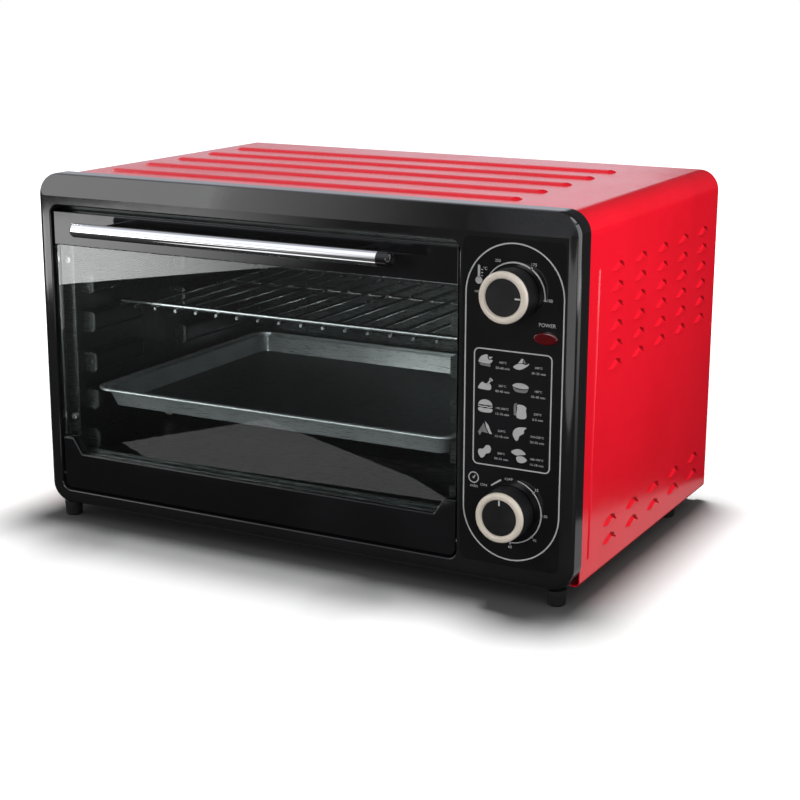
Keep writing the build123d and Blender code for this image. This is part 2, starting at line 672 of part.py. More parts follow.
def fan_housing():
    """Round pan that encloses the fan behind the right wall."""
    x = CAV_RIGHT + SHEET
    pan = rod_x(x, x + FAN_HOUSING_DEPTH, FAN_Y, FAN_Z, FAN_HOUSING_RADIUS)
    rear = pan.faces().sort_by(Axis.X)[-1]
    pan = fillet(rear.edges(), 6)
    pan += rod_x(x, x + SHEET, FAN_Y, FAN_Z, FAN_HOUSING_RADIUS + 6)
    hollow = rod_x(x - 1, x + FAN_HOUSING_DEPTH - SHEET, FAN_Y, FAN_Z, FAN_HOUSING_RADIUS - SHEET)
    hollow_rear = hollow.faces().sort_by(Axis.X)[-1]
    pan -= fillet(hollow_rear.edges(), 5)
    return pan - rod_x(x, x + FAN_HOUSING_DEPTH + 2, FAN_Y, FAN_Z, 6)


def fan_motor():
    """Shaded-pole motor: laminated core, winding, end plates and stand-offs."""
    core = box(MOTOR_X + 9, MOTOR_X + 25, FAN_Y - 30, FAN_Y + 24, FAN_Z - 24, FAN_Z + 24)
    core -= box(MOTOR_X + 8, MOTOR_X + 26, FAN_Y - 20, FAN_Y - 12, FAN_Z - 12, FAN_Z + 12)
    winding = rod_z(FAN_Z - 11, FAN_Z + 11, MOTOR_X + 17, FAN_Y - 25, 11.5)
    body = core + winding
    body += rod_x(MOTOR_X + 3, MOTOR_X + 9, FAN_Y, FAN_Z, 9)
    body += rod_x(MOTOR_X + 25, MOTOR_X + 32, FAN_Y, FAN_Z, 9)
    for side in (-1, 1):
        body += rod_x(MOTOR_X, MOTOR_X + 9, FAN_Y + 10, FAN_Z + side * 18, 2.5)
        body += rod_x(MOTOR_X, MOTOR_X + 9, FAN_Y - 10, FAN_Z + side * 18, 2.5)
    return body - rod_x(MOTOR_X - 1, MOTOR_X + 34, FAN_Y, FAN_Z, FAN_SHAFT_RADIUS + RUNNING)


def fan_shaft():
    """Motor shaft that carries the fan."""
    return rod_x(FAN_HUB_X - 4, MOTOR_X + 35, FAN_Y, FAN_Z, FAN_SHAFT_RADIUS)


def fan_blade():
    """Radial fan with a hub, a back disc and eight blades."""
    x0 = FAN_HUB_X
    x1 = x0 + FAN_BLADE_WIDTH
    wheel = rod_x(x0, x1, FAN_Y, FAN_Z, 7) + rod_x(x1 - 1, x1, FAN_Y, FAN_Z, 38)
    for i in range(FAN_BLADES):
        blade = box(x0, x1, 5, FAN_RADIUS, -0.6, 0.6)
        turn = Pos(0, FAN_Y, FAN_Z) * Rot(360 / FAN_BLADES * i, 0, 0)
        wheel += turn * blade
    return wheel - rod_x(x0 - 1, x1 + 1, FAN_Y, FAN_Z, FAN_SHAFT_RADIUS)


# Controls

def thermostat_body():
    """Capillary thermostat behind the upper knob."""
    y = FRONT + 6
    body = box(KNOB_X - 14, KNOB_X + 14, y + 1, y + 22, TEMPERATURE_Z - 16, TEMPERATURE_Z + 16)
    body += box(KNOB_X - 20, KNOB_X + 20, y, y + 1.2, TEMPERATURE_Z - 12, TEMPERATURE_Z + 12)
    body += rod_y(FRONT + 0.4, y, KNOB_X, TEMPERATURE_Z, 4.5)
    for tab in THERMOSTAT_TABS:
        body += box(tab - 3, tab + 3, y + 22, THERMOSTAT_TAB_END, TEMPERATURE_Z - 0.4, TEMPERATURE_Z + 0.4)
    return body - rod_y(FRONT - 1, y + 17, KNOB_X, TEMPERATURE_Z, SHAFT_RADIUS + RUNNING)


def timer_body():
    """Clockwork timer behind the lower knob."""
    y = FRONT + 6
    body = box(KNOB_X - 26, KNOB_X + 26, y + 1.2, y + 32, TIMER_Z - 24, TIMER_Z + 24)
    body = fillet(body.edges().filter_by(Axis.Y), 5)
    body += box(KNOB_X - 30, KNOB_X + 30, y, y + 1.2, TIMER_Z - 12, TIMER_Z + 12)
    body += rod_y(FRONT + 0.4, y, KNOB_X, TIMER_Z, 4.5)
    body += rod_y(y + 32, y + 44, KNOB_X, TIMER_Z, 2)
    for tab in TIMER_TABS:
        body += box(tab - 3, tab + 3, TIMER_TAB_Y - 0.4, TIMER_TAB_Y + 0.4, TIMER_Z + 24, TIMER_TAB_TOP)
    return body - rod_y(FRONT - 1, y + 17, KNOB_X, TIMER_Z, SHAFT_RADIUS + RUNNING)


def timer_bell():
    """Small bell cup that rings at the end of the time."""
    y = FRONT + 40
    points = [
        (2.1, y + 8), (12, y + 8), (18, y + 4), (21, y),
        (20, y), (17.4, y + 3.2), (11.6, y + 7), (2.1, y + 7),
    ]
    return turned_y(points, KNOB_X, TIMER_Z)


def control_shaft(z):
    """Shaft of a control, with a flat at its knob end."""
    shaft = rod_y(KNOB_FRONT + 6, FRONT + 22, KNOB_X, z, SHAFT_RADIUS)
    return shaft - box(KNOB_X - 4, KNOB_X + 4, KNOB_FRONT + 5, FRONT - 3, z + 1.6, z + 4)


def knob(z):
    """Black skirted knob body, with a sunk dark face inside its ring."""
    points = [
        (0, KNOB_FRONT + 1.8), (KNOB_RING_INNER, KNOB_FRONT + 1.8), (KNOB_RING_INNER, KNOB_FRONT + 3.6),
        (KNOB_RADIUS - 0.4, KNOB_FRONT + 3.6), (KNOB_RADIUS, KNOB_FRONT + 5), (KNOB_BASE_RADIUS, KNOB_REAR),
        (KNOB_RADIUS - 2, KNOB_REAR), (KNOB_RADIUS - 2.4, KNOB_FRONT + 7), (7, KNOB_FRONT + 7),
        (7, KNOB_REAR - 1), (0, KNOB_REAR - 1),
    ]
    body = turned_y(points, KNOB_X, z)
    stem = rod_y(KNOB_FRONT + 6, KNOB_REAR + 1, KNOB_X, z, SHAFT_RADIUS)
    flat = box(KNOB_X - 4, KNOB_X + 4, KNOB_FRONT + 5, FRONT - 3, z + 1.6, z + 4)
    return body - (stem - flat)


def knob_ring(z):
    """Ivory trim ring on the knob, rounded at the front."""
    y0 = KNOB_FRONT
    y1 = KNOB_FRONT + 3.6
    face = outline((KNOB_RING_INNER, y0), (KNOB_RADIUS, y0), (KNOB_RADIUS, y1), (KNOB_RING_INNER, y1))
    front_corners = face.vertices().group_by(Axis.Y)[0]
    face = fillet(front_corners, 2.4)
    return Pos(KNOB_X, 0, z) * revolve(face, Axis.Y)


def knob_pointer(z, angle):
    """White index bar on the knob's dark face, at an angle from +X."""
    y = KNOB_FRONT + 1.8
    bar = box(10.0, KNOB_RING_INNER - 0.1, y - 0.5, y, -0.6, 0.6)
    return Pos(KNOB_X, 0, z) * Rot(0, -angle, 0) * bar


def lamp_lens():
    """Oval red lens of the power lamp."""
    lens = slab_y(Pos(LAMP_X, LAMP_Z) * Ellipse(10, 5), FRONT - 1.8, FRONT + 0.2)
    front_edge = lens.faces().sort_by(Axis.Y)[0].edges()
    return fillet(front_edge, 1.4)


def lamp_body():
    """Neon lamp holder behind the lens."""
    body = box(LAMP_X - 6, LAMP_X + 6, FRONT + 0.2, FRONT + 22, LAMP_Z - 3, LAMP_Z + 3)
    for x in (LAMP_X - 3, LAMP_X + 3):
        body += box(x - 0.4, x + 0.4, FRONT + 22, FRONT + 29, LAMP_Z - 2, LAMP_Z + 2)
    return body


def terminal_block():
    """Mains terminal block on the base plate."""
    z = BOTTOM + SHEET
    block = box(BLOCK_XS[0] - 7, BLOCK_XS[2] + 7, BLOCK_Y - 9, BLOCK_Y + 9, z, BLOCK_TOP - 3)
    for x in BLOCK_XS:
        block += rod_z(BLOCK_TOP - 3, BLOCK_TOP, x, BLOCK_Y, 3.4)
    return block


def wire(points):
    """One wire along straight runs joined by arcs as large as the runs allow."""
    route = [Vector(*point) for point in points]
    radii = []
    for before, here, after in zip(route, route[1:], route[2:]):
        turn = (here - before).get_angle(after - here)
        shorter = min((here - before).length, (after - here).length)
        radii.append(0.45 * shorter / tan(turn * pi / 360))
    path = FilletPolyline(*route, radius=radii)
    section = Plane(origin=path @ 0, z_dir=path % 0) * Circle(WIRE_RADIUS)
    return sweep(section, path=path)


def wiring():
    """Six wires between the terminals, in the space behind the controls."""
    return Compound([wire(points) for points in WIRES])


def cord_gland():
    """Bushing of the mains inlet: flange, sleeve and nut."""
    y0 = BACK - GLAND_LENGTH
    seat = BACK_PANEL_Y + SHEET
    gland = rod_y(y0, seat, GLAND_X, GLAND_Z, 7.0) + rod_y(seat, BACK, GLAND_X, GLAND_Z, 10.5)
    nut = slab_y(Pos(GLAND_X, GLAND_Z) * RegularPolygon(10.5, 6), BACK_PANEL_Y - 4, BACK_PANEL_Y)
    return gland + nut - rod_y(y0 - 1, BACK + 1, GLAND_X, GLAND_Z, GLAND_BORE)


# Door

def handle_holes():
    """Holes through the door for the handle's screws."""
    radius = HANDLE_SCREW_RADIUS + 0.4
    return [rod_y(DOOR_FACE - 1, STRIP_BACK + 1, x, HANDLE_Z, radius) for x in HANDLE_POSTS]


def door_glass():
    """Toughened glass pane over the whole door."""
    pane = rounded(DOOR_LEFT + 1, DOOR_RIGHT - 1, GLASS_BOTTOM, DOOR_TOP - 1.5, 2)
    return slab_y(pane, GLASS_FACE, GLASS_BACK) - handle_holes()


def door_top_strip():
    """Black channel over the top edge of the glass."""
    z0 = DOOR_TOP - STRIP_HEIGHT
    strip = box(DOOR_LEFT, DOOR_RIGHT, DOOR_FACE, STRIP_BACK, z0, DOOR_TOP)
    strip = fillet(strip.faces().sort_by(Axis.Y)[0].edges(), 0.8)
    strip -= box(DOOR_LEFT + 1, DOOR_RIGHT - 1, GLASS_FACE, GLASS_BACK, z0 - 1, DOOR_TOP - 1.5)
    return strip - handle_holes()


def door_bottom_rail():
    """Black bottom rail with upturned ears that carry the hinge hooks."""
    ear_in = EAR_WIDTH
    foot_in = EAR_WIDTH + EAR_SLOPE
    ear_top = DOOR_BOTTOM + EAR_HEIGHT
    rail_top = DOOR_BOTTOM + RAIL_HEIGHT
    face = outline(
        (DOOR_LEFT, DOOR_BOTTOM), (DOOR_RIGHT, DOOR_BOTTOM),
        (DOOR_RIGHT, ear_top), (DOOR_RIGHT - ear_in, ear_top),
        (DOOR_RIGHT - foot_in, rail_top), (DOOR_LEFT + foot_in, rail_top),
        (DOOR_LEFT + ear_in, ear_top), (DOOR_LEFT, ear_top),
    )
    face = fillet(face.vertices().group_by(Axis.Y)[0], RAIL_CORNER)
    rail = slab_y(face, DOOR_FACE, RAIL_BACK)
    rail = fillet(rail.faces().sort_by(Axis.Y)[0].edges(), 0.8)
    rail -= box(DOOR_LEFT + 1, DOOR_RIGHT - 1, GLASS_FACE, GLASS_BACK, GLASS_BOTTOM, ear_top + 1)
    for x in HOOK_CENTRES.values():
        rail -= box(x - 2.5, x + 2.5, GLASS_BACK, RAIL_BACK + 1, HINGE_Z + 3, ear_top + 1)
        rail -= rod_x(x - 6, x + 6, HOOK_PIVOT_Y, HOOK_PIVOT_Z, HOOK_PIN_RADIUS)
    for start in (DOOR_LEFT - 1, DOOR_RIGHT - 7):
        rail -= rod_x(start, start + 8, HINGE_Y, HINGE_Z, PIN_RADIUS)
    return rail


def hinge_pins():
    """Two pins on which the door turns, fixed in its bottom rail."""
    left = rod_x(OPENING[0] - 9.5, DOOR_LEFT + 7, HINGE_Y, HINGE_Z, PIN_RADIUS)
    right = rod_x(DOOR_RIGHT - 7, OPENING[1] + 9.5, HINGE_Y, HINGE_Z, PIN_RADIUS)
    return Compound([left, right])


def hinge_bracket(side):
    """Block behind the bezel in which a hinge pin turns."""
    inner = OPENING[0] - PLASTIC if side < 0 else OPENING[1] + PLASTIC
    x0, x1 = sorted((inner, inner + side * 7))
    block = box(x0, x1, FRONT + PLASTIC, FRAME_Y - 1, HINGE_Z - 11, HINGE_Z + 11)
    return block - rod_x(x0 - 1, x1 + 1, HINGE_Y, HINGE_Z, PIN_RADIUS + RUNNING)


def hook_pins():
    """Two small pins that hold the hooks in the rail's ears."""
    pins = []
    for x in HOOK_CENTRES.values():
        pins.append(rod_x(x - 3.5, x + 3.5, HOOK_PIVOT_Y, HOOK_PIVOT_Z, HOOK_PIN_RADIUS))
    return Compound(pins)


def door_hook(x):
    """Flat hook that guides the door and pulls on its spring."""
    y, z = HOOK_PIVOT_Y, HOOK_PIVOT_Z
    end = y + HOOK_LENGTH
    profile = outline(
        (y, z - 3), (y + 10, z - 4), (end - 12, z - 4), (end - 12, z - 8), (end - 7, z - 8),
        (end - 2, z - 4), (end, z), (end - 2, z + 4), (y + 10, z + 4), (y, z + 3),
    )
    plate = slab_x(profile, x - HOOK_PLATE / 2, x + HOOK_PLATE / 2)
    plate += rod_x(x - HOOK_PLATE / 2, x + HOOK_PLATE / 2, y, z, 3)
    plate -= rod_x(x - 2, x + 2, y, z, HOOK_PIN_RADIUS + RUNNING)
    return plate - rod_x(x - 2, x + 2, end - 3.5, z, 1.3)


def door_springs():
    """Two helical tension springs behind the hooks."""
    coils = []
    for name, x in HOOK_CENTRES.items():
        length = SPRING_REAR - SPRING_FRONT - 2 * SPRING_WIRE
        path = Helix(pitch=length / SPRING_TURNS, height=length, radius=SPRING_RADIUS)
        profile = Plane(origin=path @ 0, z_dir=path % 0) * Circle(SPRING_WIRE)
        coil = sweep(profile, path=path, is_frenet=True)
        place = Pos(x + SPRING_OFFSETS[name], SPRING_REAR - SPRING_WIRE, HOOK_PIVOT_Z)
        coils.append(place * Rot(90, 0, 0) * coil)
    return Compound(coils)


def handle_bar():
    """Chromed tube of the handle."""
    tube = rod_x(HANDLE_LEFT, HANDLE_RIGHT, HANDLE_Y, HANDLE_Z, HANDLE_RADIUS)
    return tube - rod_x(HANDLE_LEFT - 1, HANDLE_RIGHT + 1, HANDLE_Y, HANDLE_Z, HANDLE_RADIUS - SHEET)


def handle_cap(near, side, length, radius, rounding):
    """Black cap on one end of the tube, with a spigot inside it."""
    cap = rod_x(*sorted((near, near + side * length)), HANDLE_Y, HANDLE_Z, radius)
    outer = cap.faces().sort_by(Axis.X)[0 if side < 0 else -1]
    cap = fillet(outer.edges(), rounding)
    return cap + rod_x(*sorted((near, near - side * 6)), HANDLE_Y, HANDLE_Z, HANDLE_RADIUS - SHEET)


def handle_posts():
    """Two short black posts between the door and the tube."""
    posts = []
    for x in HANDLE_POSTS:
        post = rod_y(HANDLE_Y, DOOR_FACE, x, HANDLE_Z, HANDLE_POST_RADIUS)
        post -= rod_x(x - 8, x + 8, HANDLE_Y, HANDLE_Z, HANDLE_RADIUS)
        post -= rod_y(HANDLE_Y + 8, DOOR_FACE + 1, x, HANDLE_Z, HANDLE_SCREW_RADIUS)
        posts.append(post)
    return Compound(posts)


def handle_screws():
    """Two screws from behind the glass into the handle's posts."""
    length = STRIP_BACK - HANDLE_Y - 10
    screws = [screw_y(x, HANDLE_Z, STRIP_BACK, -1, 4.0, HANDLE_SCREW_RADIUS, length) for x in HANDLE_POSTS]
    return Compound(screws)


# Rack and tray

def wire_rack():
    """Chromed grid of welded rods on stout cross rails."""
    rack = rod_x(CARRIED_LEFT, CARRIED_RIGHT, RACK_FRONT, RACK_Z, RACK_RAIL_RADIUS)
    rack += rod_x(CARRIED_LEFT, CARRIED_RIGHT, RACK_REAR, RACK_Z, RACK_RAIL_RADIUS)
    reach = (RACK_RODS - 1) * RACK_PITCH / 2
    weld = 0.4
    rod_z0 = RACK_Z - RACK_RAIL_RADIUS - RACK_ROD_RADIUS + weld
    crossbar_z = rod_z0 - 2 * RACK_ROD_RADIUS + weld
    rack += rod_x(CAV_MID - reach - 3, CAV_MID + reach + 3, RACK_CROSSBAR_Y, crossbar_z, RACK_ROD_RADIUS)
    for i in range(RACK_RODS):
        x = CAV_MID - reach + RACK_PITCH * i
        rack += rod_y(RACK_FRONT - 4, RACK_REAR + 4, x, rod_z0, RACK_ROD_RADIUS)
    return rack


def tray_outline(inset, z):
    """The tray's plan, drawn in from its rim by the inset."""
    width = CARRIED_RIGHT - CARRIED_LEFT - 2 * inset
    length = TRAY_REAR - TRAY_FRONT - 2 * inset
    middle = (TRAY_FRONT + TRAY_REAR) / 2
    radius = max(TRAY_CORNER - inset, 8)
    return Pos(CAV_MID, middle, z) * RectangleRounded(width, length, radius)


def baking_tray():
    """Pressed tray with slanted walls, a flat rim and a rolled bead along its edge."""
    bead_top = TRAY_RIM_Z + TRAY_BEAD
    floor = TRAY_RIM_Z - TRAY_DEPTH
    foot = TRAY_RIM + TRAY_SLANT
    body = loft([tray_outline(foot, floor), tray_outline(TRAY_RIM, TRAY_RIM_Z + SHEET / 2)])
    body += extrude(tray_outline(TRAY_BEAD / 2, TRAY_RIM_Z), amount=SHEET)
    bead = extrude(tray_outline(0, TRAY_RIM_Z), amount=TRAY_BEAD)
    bead = fillet(bead.edges().filter_by(Plane.XY), TRAY_BEAD * 0.45)
    body += bead - extrude(tray_outline(TRAY_BEAD, TRAY_RIM_Z), amount=TRAY_BEAD)
    hollow = loft([tray_outline(foot + SHEET, floor + SHEET), tray_outline(TRAY_RIM + SHEET, bead_top)])
    return body - hollow


PARTS = {
    "front_bezel": front_bezel,
    "control_panel": control_panel,
    "outer_shell": outer_shell,
    "back_panel": back_panel,
    "base_plate": base_plate,
    "foot_screws": foot_screws,
    "cavity_left_wall": cavity_left_wall,
    "cavity_right_wall": cavity_right_wall,
    "cavity_ceiling": cavity_ceiling,
    "cavity_floor": cavity_floor,
    "cavity_back_wall": cavity_back_wall,
    "cavity_front_frame": cavity_front_frame,
    "cavity_supports": cavity_supports,
    "frame_screws": frame_screws,
    "shell_screws": shell_screws,
    "upper_heating_rods": lambda: heating_rods(HEATER_UPPER_Z),
    "lower_heating_rods": lambda: heating_rods(HEATER_LOWER_Z),
    "heater_insulators": heater_insulators,
    "thermal_cutout": thermal_cutout,
    "fan_housing": fan_housing,
    "fan_motor": fan_motor,
    "fan_shaft": fan_shaft,
    "fan_blade": fan_blade,
    "thermostat_body": thermostat_body,
    "timer_body": timer_body,
    "timer_bell": timer_bell,
    "temperature_shaft": lambda: control_shaft(TEMPERATURE_Z),
    "temperature_knob": lambda: knob(TEMPERATURE_Z),
    "temperature_ring": lambda: knob_ring(TEMPERATURE_Z),
    "temperature_pointer": lambda: knob_pointer(TEMPERATURE_Z, 0),
    "timer_shaft": lambda: control_shaft(TIMER_Z),
    "timer_knob": lambda: knob(TIMER_Z),
    "timer_ring": lambda: knob_ring(TIMER_Z),
    "timer_pointer": lambda: knob_pointer(TIMER_Z, 90),
    "lamp_lens": lamp_lens,
    "lamp_body": lamp_body,
    "terminal_block": terminal_block,
    "wiring": wiring,
    "cord_gland": cord_gland,
    "hinge_bracket_left": lambda: hinge_bracket(-1),
    "hinge_bracket_right": lambda: hinge_bracket(1),
    "door_glass": door_glass,
    "door_top_strip": door_top_strip,
    "door_bottom_rail": door_bottom_rail,
    "hinge_pins": hinge_pins,
    "hook_pins": hook_pins,
    "door_hook_left": lambda: door_hook(HOOK_CENTRES["left"]),
    "door_hook_right": lambda: door_hook(HOOK_CENTRES["right"]),
    "door_springs": door_springs,
    "handle_bar": handle_bar,
    "handle_end_left": lambda: handle_cap(HANDLE_LEFT, -1, HANDLE_PLUG, HANDLE_RADIUS - 0.4, 1.6),
    "handle_end_right": lambda: handle_cap(HANDLE_RIGHT, 1, HANDLE_CAP, HANDLE_RADIUS, 4.0),
    "handle_posts": handle_posts,
    "handle_screws": handle_screws,
    "wire_rack": wire_rack,
    "baking_tray": baking_tray,
}
PARTS.update({f"foot_{name}": (lambda place=place: foot(*place)) for name, place in FEET.items()})

os.makedirs("parts", exist_ok=True)
for part_name, make in PARTS.items():
    export_step(make(), f"parts/{part_name}.step")
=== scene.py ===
"""Looks of the countertop convection oven: finishes, printed panel, painted shade on the louvres, floor,
lamps and camera.
"""

import math

import bmesh
import bpy
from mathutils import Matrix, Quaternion, Vector


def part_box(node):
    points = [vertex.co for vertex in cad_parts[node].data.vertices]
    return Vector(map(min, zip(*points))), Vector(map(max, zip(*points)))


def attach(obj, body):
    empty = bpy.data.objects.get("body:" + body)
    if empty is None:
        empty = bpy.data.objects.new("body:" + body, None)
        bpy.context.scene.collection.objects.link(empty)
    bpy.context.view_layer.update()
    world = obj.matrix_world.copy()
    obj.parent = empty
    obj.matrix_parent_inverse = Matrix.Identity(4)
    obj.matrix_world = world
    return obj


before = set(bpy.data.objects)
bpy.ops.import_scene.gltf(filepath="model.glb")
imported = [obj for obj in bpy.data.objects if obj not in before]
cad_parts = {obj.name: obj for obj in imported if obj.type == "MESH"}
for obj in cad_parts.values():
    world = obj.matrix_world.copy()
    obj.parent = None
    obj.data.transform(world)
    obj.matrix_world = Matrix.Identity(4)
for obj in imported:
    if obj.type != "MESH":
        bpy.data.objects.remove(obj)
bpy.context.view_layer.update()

MM = 0.001
WHITE = (1, 1, 1, 1)

# The camera, fitted to the casing's edges in the photograph.
CAMERA_PLACE = Vector((0.7313, -1.3148, 0.4932))
CAMERA_AIM = Vector((0.0258, 0.002, 0.1094))
CAMERA_ROLL = 0.003
CAMERA_LENS = 77.0
SENSOR_WIDTH = 36.0
CLIP_NEAR, CLIP_FAR = 0.01, 60.0

# Places on the control plate, in millimetres, as the solids have them.
PLATE_FACE = -147.8
LINE_X = 204.5
LINE_TOP, LINE_FOOT = 246.0, 76.0
TEMPERATURE_DIAL = (204.3, 247.0)
TIMER_DIAL = (204.8, 75.4)
LAMP_X = 231.2
LAMP_Z = 216.4

# The print's thickness in millimetres, the size a text object needs for figures one unit high, and how
# near two ends of an outline are when they count as one point.
INK = 0.12
TEXT_SIZE = 1.4
SAME_POINT = 1e-6

# Louvres on the sides, in millimetres, as the solids have them.
SIDE_FACE = 255.0
LOUVRE_YS = [-62.0 + 51.5 * i for i in range(5)]
LOUVRE_APEXES = [265.5 - 15.8 * i for i in range(6)] + [56.0, 40.3]
LOUVRE_RUN, LOUVRE_DROP = 15.0, 6.6
LOUVRE_DRAFT, LOUVRE_PROUD = 2.2, 1.8

# Points of a louvre's painted shade, a dark red mark standing in for the shade on its rear slope, as how far
# they lie along its slope and how far below the slope's line.
# The first seven go round the part on the slope, and the last three close the part on the flat side.
LOUVRE_SHADE_POINTS = (
    (1.4, 0.4), (3.0, 0.0), (12.0, 0.0), (12.6, 0.9), (9.0, 2.1), (3.5, 2.1), (1.6, 1.6),
    (10.5, -2.0), (4.0, -1.4), (1.4, -0.5),
)
LOUVRE_SHADE_OUTLINES = ((0, 1, 2, 3, 4, 5, 6), (2, 1, 0, 9, 8, 7))
LOUVRE_SHADE_LIFT = 0.12

# The room that shiny finishes see, as brightness: before the oven, then behind it.
FRONT_LOW, FRONT_HIGH = 0.32, 1.15
BACKDROP_LEFT, BACKDROP_MIDDLE, BACKDROP_RIGHT = 0.66, 0.8, 0.06
UPPER_LEFT, UPPER_RIGHT = 0.45, 0.05
CEILING = 0.4
ROOM_TINT = (0.96, 0.98, 1.08, 1)

# Where its parts meet, on the axes of a direction one unit long.
FRONT_LOW_TO_HIGH = (0.2, 0.7)
LEFT_TO_MIDDLE, MIDDLE_TO_RIGHT = (-0.52, -0.45), (-0.35, -0.28)
UPPER_LEFT_TO_RIGHT = (-0.4, -0.3)
BACKDROP_TO_UPPER, UPPER_TO_CEILING = (0.45, 0.7), (0.85, 0.97)
FRONT_TO_REAR = (-0.1, 0.2)

# The even light on every other surface.
EVEN_LIGHT = 0.28

# The floor: its half width in metres, its grey, and how bright shiny finishes see it, dim near the oven and
# behind it as a painted shadow in their reflections.
FLOOR_REACH = 12.0
FLOOR_GREY = 0.3
FLOOR_NEAR, FLOOR_AHEAD, FLOOR_BEHIND = 0.03, 0.1, 0.02

# Where its parts meet, in metres.
NEAR_TO_AHEAD, FRONT_TO_BEHIND = (0.2, 0.9), (0.0, 0.2)
SHADOW_TO_WHITE = (0.5, 1.1)

# How far above the floor a lying card is, in metres.
CARD_HEIGHT = 0.001

# Lamps: place, what it points at, width and height in metres, and watts.
LAMPS = {
    "lamp_floor": ((-0.01, 0.24, 2.5), (-0.01, 0.24, 0.0), (0.55, 0.75), 250.0),
    "lamp_right": ((0.6, -0.05, 0.36), (0.25, -0.05, 0.3), (0.3, 0.4), 1.35),
    "lamp_top_right": ((0.8, 0.1, 1.2), (0.2, 0.0, 0.3), (0.5, 0.5), 3.6),
    "lamp_top": ((-1.35, 0.15, 1.25), (0.0, 0.0, 0.3), (0.45, 0.45), 9.0),
    "lamp_front_left": ((-1.7, -1.6, 0.85), (0.0, -0.14, 0.2), (0.9, 0.8), 9.0),
    "lamp_front": ((-0.2, -1.9, 0.6), (0.0, -0.14, 0.2), (0.6, 0.6), 9.5),
    "lamp_low_right": ((0.55, -0.6, 0.09), (0.2, -0.1, 0.09), (0.95, 0.18), 1.1),
}
FLOOR_LAMP = "lamp_floor"


def add_object(name, data):
    """A new object in the scene."""
    made = bpy.data.objects.new(name, data)
    bpy.context.scene.collection.objects.link(made)
    return made


# Node helpers


def place(tree, kind, inputs=None, **settings):
    """A node with its settings, its inputs given as values or as other nodes' outputs."""
    made = tree.nodes.new(kind)
    for name, value in settings.items():
        setattr(made, name, value)
    for name, value in (inputs or {}).items():
        if isinstance(value, bpy.types.NodeSocket):
            tree.links.new(value, made.inputs[name])
        else:
            made.inputs[name].default_value = value
    return made


def math_node(tree, operation, first, second):
    return place(tree, "ShaderNodeMath", {0: first, 1: second}, operation=operation).outputs[0]


def blend_value(tree, factor, low, high):
    """Low where the factor is 0, high where it is 1."""
    return place(
        tree, "ShaderNodeMix", {0: factor, 2: low, 3: high}, data_type="FLOAT"
    ).outputs[0]


def blend_colour(tree, factor, first, second):
    """The first colour where the factor is 0, the second where it is 1."""
    return place(
        tree, "ShaderNodeMix", {0: factor, 6: first, 7: second}, data_type="RGBA"
    ).outputs[2]


def spread(tree, value, low, high):
    """Value from low..high brought to 0..1, smoothly."""
    return place(
        tree,
        "ShaderNodeMapRange",
        {"Value": value, "From Min": low, "From Max": high},
        interpolation_type="SMOOTHSTEP",
    ).outputs["Result"]


def noise(tree, vector, scale, detail, rough=0.5):
    return place(
        tree,
        "ShaderNodeTexNoise",
        {"Vector": vector, "Scale": scale, "Detail": detail, "Roughness": rough},
    ).outputs["Fac"]


def new_group(name, inputs, outputs):
    """An empty node group with named inputs and outputs: (group, its input sockets, its output node)."""
    group = bpy.data.node_groups.new(name, "ShaderNodeTree")
    for label, kind, value in inputs:
        made = group.interface.new_socket(label, in_out="INPUT", socket_type="NodeSocket" + kind)
        made.default_value = value
    for label, kind in outputs:
        group.interface.new_socket(label, in_out="OUTPUT", socket_type="NodeSocket" + kind)
    return (
        group,
        group.nodes.new("NodeGroupInput").outputs,
        group.nodes.new("NodeGroupOutput").inputs,
    )


def object_place(tree):
    return tree.nodes.new("ShaderNodeTexCoord").outputs["Object"]


def object_axes(tree):
    """X, Y and Z on the object, in metres."""
    return place(tree, "ShaderNodeSeparateXYZ", {0: object_place(tree)}).outputs


def kinds_of_ray(tree):
    return tree.nodes.new("ShaderNodeLightPath").outputs


# Effects that several finishes share


def make_ripple():
    """The faint waviness of lacquer or of a moulded skin."""
    tree, given, out = new_group(
        "surface_ripple", [("Scale", "Float", 300.0), ("Fine Share", "Float", 0.3)], [("Height", "Float")]
    )
    where = object_place(tree)
    wide = noise(tree, where, given["Scale"], detail=1.0)
    fine = noise(tree, where, math_node(tree, "MULTIPLY", given["Scale"], 6.0), detail=2.0)
    tree.links.new(blend_value(tree, given["Fine Share"], wide, fine), out["Height"])
    return tree


def make_handling():
    """Roughness that drifts between wiped and handled places."""
    tree, given, out = new_group(
        "handling_marks",
        [("Clean", "Float", 0.1), ("Handled", "Float", 0.25), ("Scale", "Float", 14.0)],
        [("Roughness", "Float")],
    )
    where = object_place(tree)
    broad = noise(tree, where, given["Scale"], detail=4.0, rough=0.6)
    fine = noise(tree, where, math_node(tree, "MULTIPLY", given["Scale"], 11.0), detail=3.0)
    mask = spread(tree, blend_value(tree, 0.3, broad, fine), 0.4, 0.68)
    tree.links.new(blend_value(tree, mask, given["Clean"], given["Handled"]), out["Roughness"])
    return tree


def make_drift():
    """Colour that drifts gently between two near tones."""
    tree, given, out = new_group(
        "tone_drift",
        [
            ("Main", "Color", (0.5, 0.5, 0.5, 1)),
            ("Other", "Color", (0.4, 0.4, 0.4, 1)),
            ("Scale", "Float", 20.0),
            ("Low", "Float", 0.4),
            ("High", "Float", 0.7),
        ],
        [("Color", "Color")],
    )
    value = noise(tree, object_place(tree), given["Scale"], detail=5.0, rough=0.6)
    mask = spread(tree, value, given["Low"], given["High"])
    tree.links.new(blend_colour(tree, mask, given["Main"], given["Other"]), out["Color"])
    return tree


